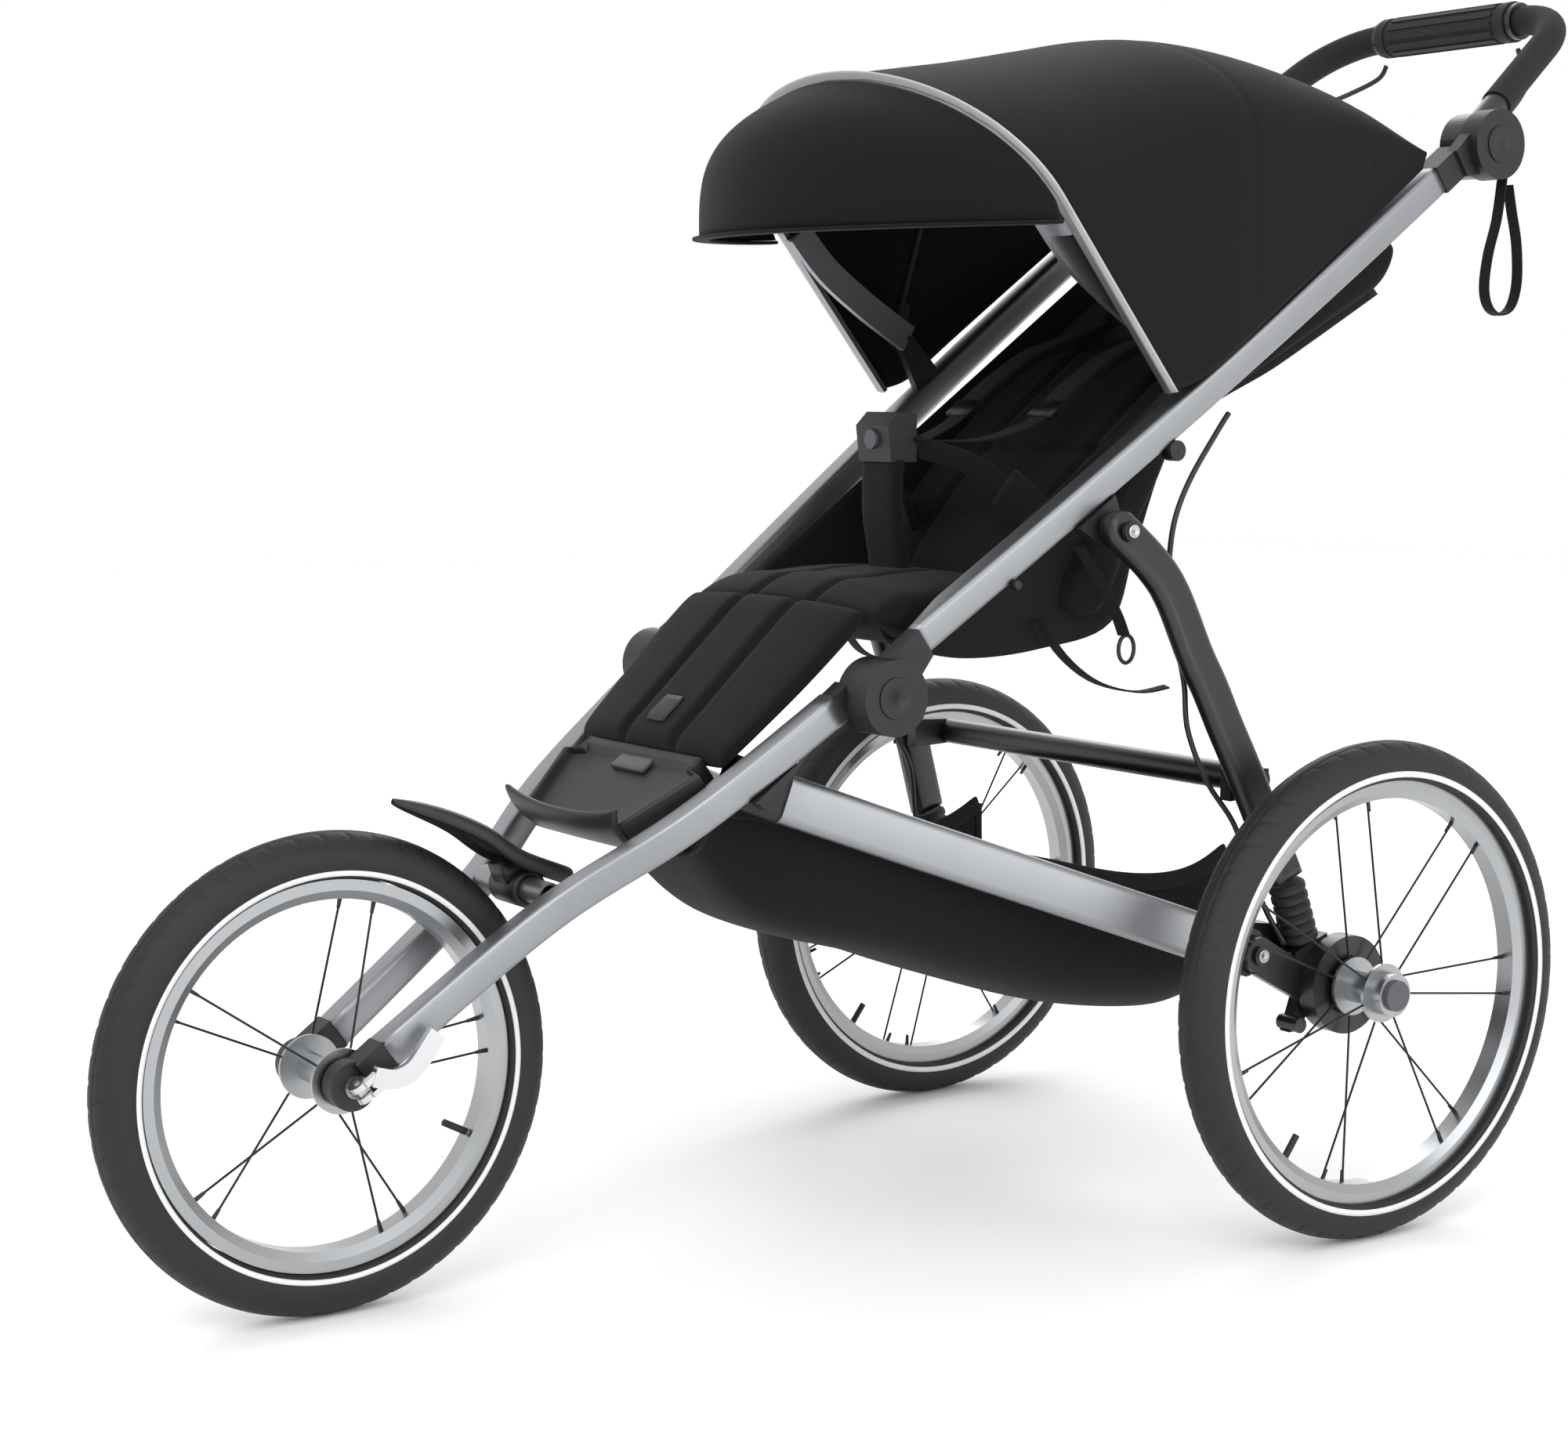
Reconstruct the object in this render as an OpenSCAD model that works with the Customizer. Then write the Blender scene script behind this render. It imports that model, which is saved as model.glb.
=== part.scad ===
// Three-wheeled jogging stroller with a folding frame.
// X points to the stroller's left, -Y is forward and Z is up. Lengths are in millimetres.

/* [Wheels] */
// Outer radius of the front tyre
front_r = 197; // [190:1:205]
// Outer radius of the rear tyres
rear_r = 221.1; // [214:1:228]
// Radius of the tyre's round section
tyre_r = 22; // [20:0.5:24]
// Radius of the front rim's outer edge
front_rim_r = 159.4; // [155:0.1:163]
// Radius of the rear rims' outer edge
rear_rim_r = 187.3; // [183:0.1:191]
// Distance of each rear wheel's mid-plane from the centre plane
track = 318.2; // [315:0.1:325]
// Y of the rear axle before the model is centred
rear_axle_y = 350; // [345:1:355]
// Y of the front axle before the model is centred
front_axle_y = -504.4; // [-510:0.1:-500]
// Pairs of spokes in the front wheel
front_pairs = 5; // [4:1:6]
// Pairs of spokes in each rear wheel
rear_pairs = 7; // [6:1:8]

/* [Frame] */
// Pitch of the straight line that the front tubes and rails follow
pitch = 35.93; // [35.5:0.01:36.5]
// Height of the frame tubes, square to that line
tube_h = 27; // [25:0.5:29]
// Width of the frame tubes
tube_w = 24.5; // [22:0.5:26]
// Wall of the aluminium tubes
wall = 2; // [1.5:0.25:3]
// Height of the side tubes
side_h = 42; // [38:1:44]
// Width of the side tubes
side_w = 24; // [20:1:24]
// Radius of the round hubs that the frame and handlebar fold at
hub_r = 32; // [30:1:34]

/* [Handlebar] */
// Radius of the handlebar tube
bar_r = 12.5; // [11:0.5:13]
// Radius of the foam on the handlebar
foam_r = 14.5; // [14:0.5:16]
// Radius of the twisting brake grip
grip_r = 20; // [18:0.5:21]
// Length along the frame line from its origin to the cross bar
bar_along = 1065; // [1060:1:1070]

/* [Fits] */
// Radial clearance of every pin and axle in its bore
fit = 0.05; // [0.02:0.01:0.09]
// Gap between faces that move past each other
gap = 0.4; // [0.3:0.1:0.6]

/* [Hidden] */
$fn = 48;

// Origin of the frame line: a point on the outer top corner of the front tubes.
line_y = -114.1;
line_z = 497.7;
// Centre of the cross bar below the frame line.
bar_off = -18;
// The model is moved along Y so that its box is centred on the origin.
y_front = front_axle_y - front_r;
y_back = line_y + bar_along*cos(pitch) - bar_off*sin(pitch) + grip_r;
y_shift = -(y_front + y_back)/2;

// Places on the frame line, as [along, off].
front_end = [-455, -13.5];
fold_pivot = [26, -26];
bar_pivot = [834, -22];
rail_start = 83;
rail_end = 763;
saddle_pivot = [-88, -38.7];
leg_pivot = [283, -47.9];
cross_tube = [-270, -8];
canopy_pivot = [435, 49];

// Places in the side view, as [y, z].
rear_pivot = [259.6, 254.1];
leg_foot = [298, 318];
crossbar_at = [298, 400];
spring_foot = [321, 254];
rear_axle = [rear_axle_y, rear_r];
pedal_pivot = [320, 258];

// The front axle as a place on the frame line.
axle_along = (front_axle_y - line_y)*cos(pitch) + (front_r - line_z)*sin(pitch);
axle_off = (front_r - line_z)*cos(pitch) - (front_axle_y - line_y)*sin(pitch);

// Outer faces of the fold and handlebar hubs.
fold_inner_x = 150;
fold_split_x = 162.2;
fold_outer_x = 190;
bar_hub_inner_x = 188;
bar_hub_split_x = 213.2;
bar_hub_outer_x = 235;
side_start_x = 116.5;
leg_top_x = 210;
leg_foot_x = 260;

// Distance of a front tube's outer face from the centre plane, along the frame line:
// a narrow straight stretch by the wheel, a wide one by the seat, and an S between them.
function narrow_x(a) = 60.2 + 0.083*(a + 428.7);
function wide_x(a) = 161.6 + 0.137*a;
function front_x(a) = narrow_x(a) + (wide_x(a) - narrow_x(a))/(1 + exp(-(a + 224)/32));
// Distance of a rail's outer face, which flattens towards the handlebar.
function rail_x(a) = 161.6 + 59.7*(1 - pow(max(0, 1 - a/rail_end), 1.75));
// The rail's inner face steps out where it folds past the front tube.
function rail_inner_x(a) = max(rail_x(a) - tube_w, front_x(2*fold_pivot[0] - a + 9) + gap);

// Points along a smooth curve through a list of points.
function curve_part(p, q, r, s, t) = 0.5*(2*q + (r - p)*t + (2*p - 5*q + 4*r - s)*t*t
  + (3*q - 3*r + s - p)*t*t*t);
function curve_at(pts, u) =
  let (n = len(pts) - 1, i = min(n - 1, floor(u*n)), t = u*n - i)
  curve_part(pts[max(0, i - 1)], pts[i], pts[i + 1], pts[min(n, i + 2)], t);
function unit(v) = v/norm(v);
// Outline of a band of width w along 2D points.
function across(pts, i) =
  let (n = len(pts) - 1, d = unit(pts[min(n, i + 1)] - pts[max(0, i - 1)])) [-d[1], d[0]];
function band(pts, w) = concat(
  [for (i = [0:len(pts) - 1]) pts[i] + across(pts, i)*w/2],
  [for (i = [len(pts) - 1:-1:0]) pts[i] - across(pts, i)*w/2]);
function smooth(pts, n) = [for (i = [0:n]) curve_at(pts, i/n)];

// Placing helpers.
module centred() { translate([0, y_shift, 0]) children(); }
module on_line() { translate([0, line_y + y_shift, line_z]) rotate([pitch, 0, 0]) children(); }
module on_side(side) { if (side > 0) children(); else mirror([1, 0, 0]) children(); }
module both_sides() { for (side = [1, -1]) on_side(side) children(); }
module slab(x0, x1, pts) {
  translate([x0, 0, 0]) rotate([90, 0, 90]) linear_extrude(x1 - x0) polygon(pts);
}
module pin(x0, x1, r) { translate([x0, 0, 0]) rotate([0, 90, 0]) cylinder(h = x1 - x0, r = r); }
module pin_at(p, x0, x1, r) { translate([0, p[0], p[1]]) pin(x0, x1, r); }
module rod(p, q, r) {
  d = q - p;
  translate(p) rotate([0, acos(d[2]/norm(d)), atan2(d[1], d[0])]) cylinder(h = norm(d), r = r, $fn = 16);
}
module at_axle(p) { translate([0, p[0], p[1]]) children(); }

// A closed shell between an outer and an inner grid of points.
module shell(outer, inner) {
  rows = len(outer);
  cols = len(outer[0]);
  total = rows*cols;
  pts = concat([for (row = outer) each row], [for (row = inner) each row]);
  skin = [for (i = [0:rows - 2], j = [0:cols - 2])
    [i*cols + j, i*cols + j + 1, (i + 1)*cols + j + 1, (i + 1)*cols + j]];
  lining = [for (f = skin) [for (k = [3:-1:0]) f[k] + total]];
  rim = concat([for (j = [0:cols - 1]) j], [for (i = [1:rows - 1]) i*cols + cols - 1],
    [for (j = [cols - 2:-1:0]) (rows - 1)*cols + j], [for (i = [rows - 2:-1:1]) i*cols]);
  edge = [for (k = [0:len(rim) - 1]) let (a = rim[k], b = rim[(k + 1) % len(rim)])
    [b, a, a + total, b + total]];
  polyhedron(pts, concat(skin, lining, edge), convexity = 6);
}

// ---- frame tubes ----
module plan_tube(stations, outer, inner) {
  translate([0, 0, -tube_h]) linear_extrude(tube_h) polygon(concat(
    [for (a = stations) [outer(a), a]],
    [for (i = [len(stations) - 1:-1:0]) [inner(stations[i]), stations[i]]]));
}
module hollow_tube(stations, outer, inner) {
  ends = [stations[0], stations[len(stations) - 1]];
  bore = concat([ends[0] - 1], [for (i = [1:len(stations) - 2]) stations[i]], [ends[1] + 1]);
  difference() {
    plan_tube(stations, outer, inner);
    translate([0, 0, -tube_h + wall]) linear_extrude(tube_h - 2*wall) polygon(concat(
      [for (a = bore) [outer(a) - wall, a]],
      [for (i = [len(bore) - 1:-1:0]) [inner(bore[i]) + wall, bore[i]]]));
  }
}
front_stations = concat([front_end[0], -400], [for (a = [-350:25:-50]) a], [-7]);
rail_stations = concat([rail_start, 100, 120, 145], [for (a = [180:58.3:705]) a], [rail_end]);
module front_tube(side) {
  color("silver") on_line() on_side(side)
    hollow_tube(front_stations, function(a) front_x(a), function(a) front_x(a) - tube_w);
}
module rail(side) {
  color("silver") on_line() on_side(side)
    hollow_tube(rail_stations, function(a) rail_x(a), function(a) rail_inner_x(a));
}
module front_tube_left() { front_tube(1); }
module front_tube_right() { front_tube(-1); }
module rail_left() { rail(1); }
module rail_right() { rail(-1); }

// ---- dropouts, axle and quick-release lever ----
dropout_x = [36, 52];
module dropout(side) {
  color("black") on_line() on_side(side) difference() {
    union() {
      translate([36, -482, -tube_h]) cube([22, 26.9, tube_h]);
      translate([0, axle_along, axle_off]) pin(dropout_x[0], dropout_x[1], 20);
      translate([dropout_x[0], axle_along, -27]) cube([16, 20, 27]);
    }
    translate([0, axle_along, axle_off]) pin(30, 60, 6 + fit);
  }
}
module dropout_left() { dropout(1); }
module dropout_right() { dropout(-1); }

cam_x = 66;
module front_axle() {
  color("silver") on_line() translate([0, axle_along, axle_off]) {
    pin(-62, 55.5, 6);
    pin(-60, -52.3, 10);
    pin(52.3, 56, 9);
    translate([54, -5, -2.5]) cube([cam_x - 50, 10, 5]);
    translate([cam_x, 0, -9]) cylinder(h = 18, r = 2.5);
  }
}
lever_line = [[0, 0], [12, -14], [28, -19], [46, -15], [62, -10]];
module qr_lever() {
  color("whitesmoke") on_line() translate([0, axle_along, axle_off]) {
    for (z = [3, -8]) translate([cam_x, 0, z]) difference() {
      cylinder(h = 5, r = 8);
      translate([0, 0, -1]) cylinder(h = 7, r = 2.5 + fit);
    }
    for (z = [3, -8]) translate([70.5, 3, z]) cube([6, 12, 5]);
    slab(71, 77, band(smooth([for (p = lever_line) p + [12, 6]], 12), 16));
  }
}

// ---- fold hubs ----
module fold_base(side) {
  color("dimgray") on_line() on_side(side) difference() {
    union() {
      translate([0, fold_pivot[0], fold_pivot[1]]) pin(fold_inner_x, fold_split_x - gap, hub_r);
      slab(wide_x(0) - tube_w + 5, wide_x(0), [[-6.99, -tube_h], [fold_pivot[0], -tube_h],
        [fold_pivot[0] - 2, 0], [-6.99, 0]]);
    }
    translate([0, fold_pivot[0], fold_pivot[1]]) pin(100, 200, 8 + fit);
    slab(100, fold_inner_x, [[8, -80], [60, -80], [60, 40], [28, 40], [8, -4]]);
  }
}
module fold_cover(side) {
  color("dimgray") on_line() on_side(side) {
    translate([0, fold_pivot[0], fold_pivot[1]]) {
      pin(fold_split_x, fold_outer_x, hub_r);
      pin(fold_inner_x - 1, fold_split_x + 1, 8);
    }
    slab(fold_split_x, 178, [[22, 0], [28, -44], [rail_start - 0.01, -tube_h], [rail_start - 0.01, 0]]);
  }
}
module fold_base_left() { fold_base(1); }
module fold_base_right() { fold_base(-1); }
module fold_cover_left() { fold_cover(1); }
module fold_cover_right() { fold_cover(-1); }

module upper_hub(side) {
  color("dimgray") on_line() on_side(side) difference() {
    union() {
      translate([0, bar_pivot[0], bar_pivot[1]]) pin(bar_hub_split_x, bar_hub_outer_x, hub_r);
      slab(196.8, 222.5, [[rail_end + 0.01, -tube_h], [799, -tube_h], [799, 0], [rail_end + 0.01, 0]]);
      slab(bar_hub_split_x, 226, [[790, -tube_h], [bar_pivot[0], -50], [bar_pivot[0], 6], [790, 0]]);
    }
    translate([0, bar_pivot[0], bar_pivot[1]]) pin(190, 228, 9 + fit);
  }
}
module upper_hub_left() { upper_hub(1); }
module upper_hub_right() { upper_hub(-1); }

// ---- front frame parts ----
clamp_x = 22;
module front_cross_tube() {
  half = front_x(cross_tube[0]) - tube_w - 4.2;
  color("silver") on_line() translate([0, cross_tube[0], cross_tube[1]]) difference() {
    pin(-half, half, 10.5);
    pin(-half - 1, half + 1, 8.5);
  }
}
fender_line = [[-441, 414], [-405, 404], [-370, 388], [-335, 364], [-292, 346]];
module fender() {
  color("black") {
    centred() slab(-35, 35, band(smooth(fender_line, 16), 4));
    on_line() translate([0, cross_tube[0], cross_tube[1]]) difference() {
      union() {
        pin(-clamp_x, clamp_x, 15);
        translate([-14, -12, 6]) cube([28, 22, 18]);
      }
      pin(-40, 40, 10.5);
    }
  }
}
// The tray is narrow at the top, where the side tubes swing past it.
function tray_half(in) = [[90 - in, -106 - in], [90 - in, -122 - in], [113 - in, -124 - in],
  [76 - in, -200 + in]];
function tray_outline(in) = concat(tray_half(in),
  [for (i = [3:-1:0]) [-tray_half(in)[i][0], tray_half(in)[i][1]]]);
module footrest() {
  color("dimgray") on_line() difference() {
    translate([0, 0, -17]) linear_extrude(25)
      polygon(tray_outline(0));
    translate([0, 0, -13]) linear_extrude(40) polygon(tray_outline(6));
  }
  color("dimgray") on_line() slab(-76, 76,
    [[-199.9, -16], [-194, -16], [-199, 26], [-206, 26]]);
  color("gray") on_line() translate([-24, -128, -13.01]) cube([48, 16, 7]);
}
module side_saddles() {
  color("black") both_sides() {
    on_line() slab(118.5, 126.5, [[saddle_pivot[0] - 14, -tube_h - 0.1], [saddle_pivot[0] + 14, -tube_h - 0.1],
      [saddle_pivot[0] + 12, -50], [saddle_pivot[0] - 12, -50]]);
    on_line() slab(124, 150, [[saddle_pivot[0] - 26, -tube_h - 0.1], [saddle_pivot[0] + 26, -tube_h - 0.1],
      [saddle_pivot[0] + 20, -33], [saddle_pivot[0] - 20, -33]]);
    on_line() translate([0, saddle_pivot[0], saddle_pivot[1]]) {
      pin(91, 119, 5);
      pin(88, 92, 9);
    }
  }
}
module leg_panel() {
  color("black") on_line() slab(-112, 112,
    [[-104, -6], [-100, 9], [-50, 14], [10, 22], [60, 27], [60, 8], [0, 3], [-60, -2]]);
}

// ---- wheels ----
function tyre_arc(r) = [for (t = [-150:12.5:150]) [r - tyre_r + tyre_r*cos(t), tyre_r*sin(t)]];
module tyre(r, rim_r) {
  outline = concat([[rim_r, -13.5]], [for (p = tyre_arc(r)) if (p[0] > rim_r + 4) p], [[rim_r, 13.5]]);
  color([0.16, 0.16, 0.17]) rotate([0, 90, 0]) rotate_extrude($fn = 96) polygon(outline);
}
module rim(rim_r, valve_angle) {
  color("silver") rotate([0, 90, 0]) rotate_extrude($fn = 96)
    polygon([[rim_r - 0.05, -13.4], [rim_r - 9, -13.4], [rim_r - 16.4, -9], [rim_r - 16.4, 9],
      [rim_r - 9, 13.4], [rim_r - 0.05, 13.4]]);
  color("black") rotate([valve_angle, 0, 0]) translate([0, rim_r - 16.3, 0]) rotate([90, 0, 0])
    cylinder(h = 24, r = 3);
}
module laced_spokes(rim_r, pairs, first, flange_x, flange_r, splay) {
  for (k = [0:pairs - 1], side = [1, -1]) {
    a = first - k*360/pairs + (side > 0 ? 0 : splay);
    hub = [side > 0 ? flange_x[0] : flange_x[1], flange_r*cos(a), flange_r*sin(a)];
    edge = rim_r - 16.8;
    rod(hub, [side*3, edge*cos(a), edge*sin(a)], 1);
  }
}
module front_tyre() { centred() at_axle([front_axle_y, front_r]) tyre(front_r, front_rim_r); }
module front_rim() { centred() at_axle([front_axle_y, front_r]) rim(front_rim_r, -27.6); }
module front_hub() {
  centred() at_axle([front_axle_y, front_r]) {
    color("silver") difference() {
      union() {
        pin(-35.4, 35.4, 12);
        for (x = [-31.5, 28.5]) pin(x, x + 3, 26.5);
      }
      pin(-40, 40, 6 + fit);
    }
    color("black") laced_spokes(front_rim_r, front_pairs, 72.5, [30, -30], 26.9, 10.7);
  }
}
module rear_wheel_at(side) { centred() on_side(side) translate([track, 0, 0]) at_axle(rear_axle) children(); }
module rear_tyre_left() { rear_wheel_at(1) tyre(rear_r, rear_rim_r); }
module rear_tyre_right() { rear_wheel_at(-1) tyre(rear_r, rear_rim_r); }
module rear_rim_left() { rear_wheel_at(1) rim(rear_rim_r, 233); }
module rear_rim_right() { rear_wheel_at(-1) rim(rear_rim_r, 233); }
module rear_hub() {
  color("silver") difference() {
    union() {
      pin(-24.5, 22, 14);
      pin(-23.7, -20.7, 26);
      pin(11.3, 14.3, 26);
      pin(14, 27, 19);
    }
    pin(-30, 15, 6 + fit);
    pin(14.9, 30, 13.6);
  }
  color("black") laced_spokes(rear_rim_r, rear_pairs, 95.4, [12.8, -22.2], 26.4, 11);
}
module rear_hub_left() { rear_wheel_at(1) rear_hub(); }
module rear_hub_right() { rear_wheel_at(-1) rear_hub(); }
module hub_button() { color("gray") pin(20, 31, 13.5); }
module hub_button_left() { rear_wheel_at(1) hub_button(); }
module hub_button_right() { rear_wheel_at(-1) hub_button(); }

// ---- rail brackets: they carry the rear legs and the canopy ----
module rail_brackets() {
  color("black") both_sides() on_line() {
    slab(185.5, 197, [[leg_pivot[0] - 26, -tube_h - 0.1], [leg_pivot[0] + 22, -tube_h - 0.1],
      [leg_pivot[0] + 14, leg_pivot[1] - 9], [leg_pivot[0] - 14, leg_pivot[1] - 9]]);
    translate([0, leg_pivot[0], leg_pivot[1]]) {
      pin(185.5, 197, 16);
      pin(196, 223, 5);
      pin(222.6, 227, 9);
    }
    slab(185, 193, [[canopy_pivot[0] - 16, 0.1], [canopy_pivot[0] + 16, 0.1],
      [canopy_pivot[0] + 9, canopy_pivot[1]], [canopy_pivot[0] - 9, canopy_pivot[1]]]);
    translate([0, canopy_pivot[0], canopy_pivot[1]]) {
      pin(185, 193, 9);
      pin(176, 200, 3);
    }
  }
}

// ---- soft seat, harness and buckle ----
module seat_base() {
  color("black") centred() slab(-138, 138,
    [[-56, 560], [-40, 575], [30, 580], [92, 578], [112, 560], [112, 530], [15, 520], [-40, 535]]);
}
seat_rear = [[200, 548], [224, 618], [273, 715], [391, 775], [520, 839], [541, 875], [520, 888]];
module seat_back() {
  color("black") centred() slab(-150, 150,
    concat([[116, 532]], seat_rear, [[473, 878], [352, 792], [245, 708], [150, 612], [116, 575]]));
}
module harness() {
  color("black") centred() for (x = [-72, 48])
    slab(x, x + 24, [[172, 700], [180, 745], [250, 798], [312, 806], [330, 792], [306, 770],
      [236, 716], [176, 660]]);
  color("black") centred() both_sides()
    slab(40, 96, [[124, 650], [138, 650], [156, 628], [140, 612], [122, 622]]);
}
module crotch_pad() { color("black") centred() slab(-27, 27, [[32, 672], [58, 676], [62, 592], [30, 588]]); }
module buckle() {
  color("dimgray") centred() difference() {
    slab(-24, 24, [[38, 680], [34, 712], [46, 724], [66, 722], [66, 680]]);
    translate([0, 30, 700]) rotate([-90, 0, 0]) cylinder(h = 14, r = 9);
  }
}
module buckle_button() {
  color("gray") centred() translate([0, 32, 700]) rotate([-90, 0, 0]) cylinder(h = 8, r = 8.6);
}

// ---- canopy ----
// Foot of each arch on the frame line, as [along, off], and its crown, as [y, z].
arch_foot = [[402, 14], [424, 6], [452, 3], [500, 3], [580, 3], [670, 3], [757, 3]];
arch_crown = [[-12, 1012], [92, 1031], [190, 1049], [287, 1062], [375, 1052], [440, 1024], [505, 968]];
arch_half = [[210, 0], [211, 0], [213, 0], [214, 0], [214, 0], [213, 0], [211, 0]];
straight_share = 0.6;
function line_to_side(p) = [line_y + p[0]*cos(pitch) - p[1]*sin(pitch),
  line_z + p[0]*sin(pitch) + p[1]*cos(pitch)];
// An arch has straight sides and an elliptic crown. s runs from -1 to 1 over it.
function arch_x(s) = abs(s) > 0.5 ? sign(s) : sign(s)*cos(90 - 180*abs(s));
function arch_h(s) = abs(s) > 0.5 ? straight_share*2*(1 - abs(s))
  : straight_share + (1 - straight_share)*sin(90 - 180*abs(s));
function arch_point(foot, crown, half, s, inset) =
  let (tall = norm(crown - foot), p = foot + (crown - foot)*arch_h(s)*(1 - inset/tall))
  [arch_x(s)*(half - inset), p[0], p[1]];
arch_steps = [for (i = [-12:12]) i/12];
function canopy_grid(inset) = [for (i = [0:14]) let (u = i/14,
    foot = line_to_side(curve_at(arch_foot, u)), crown = curve_at(arch_crown, u),
    half = curve_at(arch_half, u)[0])
  [for (s = arch_steps) arch_point(foot, crown, half, s, inset)]];
module canopy_fabric() { color("black") centred() shell(canopy_grid(0), canopy_grid(3)); }

bow_foot = [398, 14];
bow_crown = [-16, 1010];
bow_tall = norm(bow_crown - line_to_side(bow_foot));
// An upright bow in its own plane, turned about the foot into place.
module arch_bow(foot, crown, half, depth) {
  tall = norm(crown - foot);
  lean = atan2(crown[1] - foot[1], crown[0] - foot[0]);
  outer = [for (s = arch_steps) [arch_x(s)*half, arch_h(s)*tall]];
  inner = [for (i = [24:-1:0]) [arch_x(arch_steps[i])*(half - depth), arch_h(arch_steps[i])*(tall - depth)]];
  translate([0, foot[0], foot[1]]) rotate([lean, 0, 0]) translate([0, 0, -2.5])
    linear_extrude(5) polygon(concat(outer, inner));
}
pivot_side = line_to_side(canopy_pivot);
module canopy_bow() {
  color("silver") centred() arch_bow(line_to_side(bow_foot), bow_crown, 210, 7);
  color("black") centred() both_sides() difference() {
    slab(178, 184.6, band(smooth([pivot_side, [160, 822], [112, 856], [80, 890]], 12), 26));
    translate([0, pivot_side[0], pivot_side[1]]) pin(170, 190, 3 + fit);
  }
  color("black") centred() both_sides() slab(184, 204, band([[92, 874], [84, 886]], 8));
}
module canopy_mid_bow() {
  color("black") centred() {
    arch_bow([pivot_side[0] + 2, pivot_side[1] + 16], [283, 1050], 205, 6);
    both_sides() difference() {
      union() {
        translate([0, pivot_side[0], pivot_side[1]]) pin(194, 199, 11);
        slab(194.6, 203, [[pivot_side[0] - 5, pivot_side[1] + 6], [pivot_side[0] + 7, pivot_side[1] + 6],
          [pivot_side[0] + 14, pivot_side[1] + 34], [pivot_side[0] + 1, pivot_side[1] + 34]]);
      }
      translate([0, pivot_side[0], pivot_side[1]]) pin(170, 210, 3 + fit);
    }
  }
}
hem_pivot = [73, 884];
function hem_point(a, inset) = [(210 - inset)*cos(a), hem_pivot[0] - (182 - inset)*pow(abs(sin(a)), 1.25),
  hem_pivot[1] - 7*sin(a)];
function brow_point(a, inset) =
  let (foot = line_to_side(bow_foot - [5, 0]), crown = bow_crown - [5, 4],
    h = straight_share + (1 - straight_share)*sin(a), p = foot + (crown - foot)*h*(1 - inset/bow_tall))
  [(210 - inset)*cos(a), p[0], p[1]];
function visor_point(a, u, inset) =
  let (b = brow_point(a, inset), h = hem_point(a, inset), bulge = 26*sin(a)*sin(180*u))
  b + (h - b)*u + [0, -bulge, 0.6*bulge];
function visor_grid(inset) = [for (i = [0:6]) [for (a = [0:10:180]) visor_point(a, i/6, inset)]];
module visor() { color("black") centred() shell(visor_grid(3), visor_grid(0)); }

// ---- handlebar ----
leg_lean = 9.9;
bend_r = 72;
bend_start = [163, bar_along - bend_r*(1 - sin(leg_lean))];
leg_start = [bend_start[0] + 155*sin(leg_lean), bend_start[1] - 155*cos(leg_lean)];
bend_end_x = bend_start[0] - bend_r*cos(leg_lean);
module bar_bend(r) {
  translate([bend_end_x, bar_along - bend_r, 0]) rotate_extrude(angle = 90 - leg_lean + 0.001, start = leg_lean)
    translate([bend_r, 0]) circle(r);
}
module bar_leg(r, from) {
  start = bend_start + (leg_start - bend_start)*from;
  d = bend_start - start;
  translate([start[0], start[1], 0]) rotate([-90, 0, leg_lean]) cylinder(h = norm(d), r = r);
}
module handlebar() {
  color("dimgray") on_line() {
    translate([0, 0, bar_off]) {
      both_sides() {
        bar_bend(bar_r);
        bar_leg(bar_r, 1);
      }
      translate([0, bar_along, 0]) {
        pin(-bend_end_x, bend_end_x, bar_r);
        pin(84.5, bend_end_x, 18);
        pin(-bend_end_x, -86.5, 18);
      }
    }
    both_sides() difference() {
      union() {
        translate([0, bar_pivot[0], bar_pivot[1]]) pin(bar_hub_inner_x, bar_hub_split_x - gap, 30);
        translate([0, bar_pivot[0], bar_pivot[1]]) pin(bar_hub_split_x - 1, 227, 9);
      }
      translate([0, bar_pivot[0], bar_pivot[1]]) pin(180, 199, 9 + fit);
    }
  }
}
module handlebar_foam() {
  color([0.2, 0.2, 0.21]) on_line() translate([0, 0, bar_off]) both_sides() difference() {
    union() {
      bar_bend(foam_r);
      bar_leg(foam_r, 0.68);
    }
    bar_bend(bar_r);
    bar_leg(bar_r, 1);
  }
}
module brake_grip() {
  color("black") on_line() translate([0, bar_along, bar_off]) difference() {
    union() {
      pin(-86, 84, grip_r - 1.5);
      for (a = [0:30:330]) rotate([a, 0, 0]) translate([-70, -3, grip_r - 4]) cube([138, 6, 4]);
      for (x = [-86, 74]) pin(x, x + 10, grip_r);
    }
    pin(-100, 100, bar_r + fit);
  }
}
module tilt_button(side) {
  color("gray") on_line() on_side(side) translate([0, bar_pivot[0], bar_pivot[1]]) pin(183, 193.5, 8.6);
}
module tilt_button_left() { tilt_button(1); }
module tilt_button_right() { tilt_button(-1); }

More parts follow.
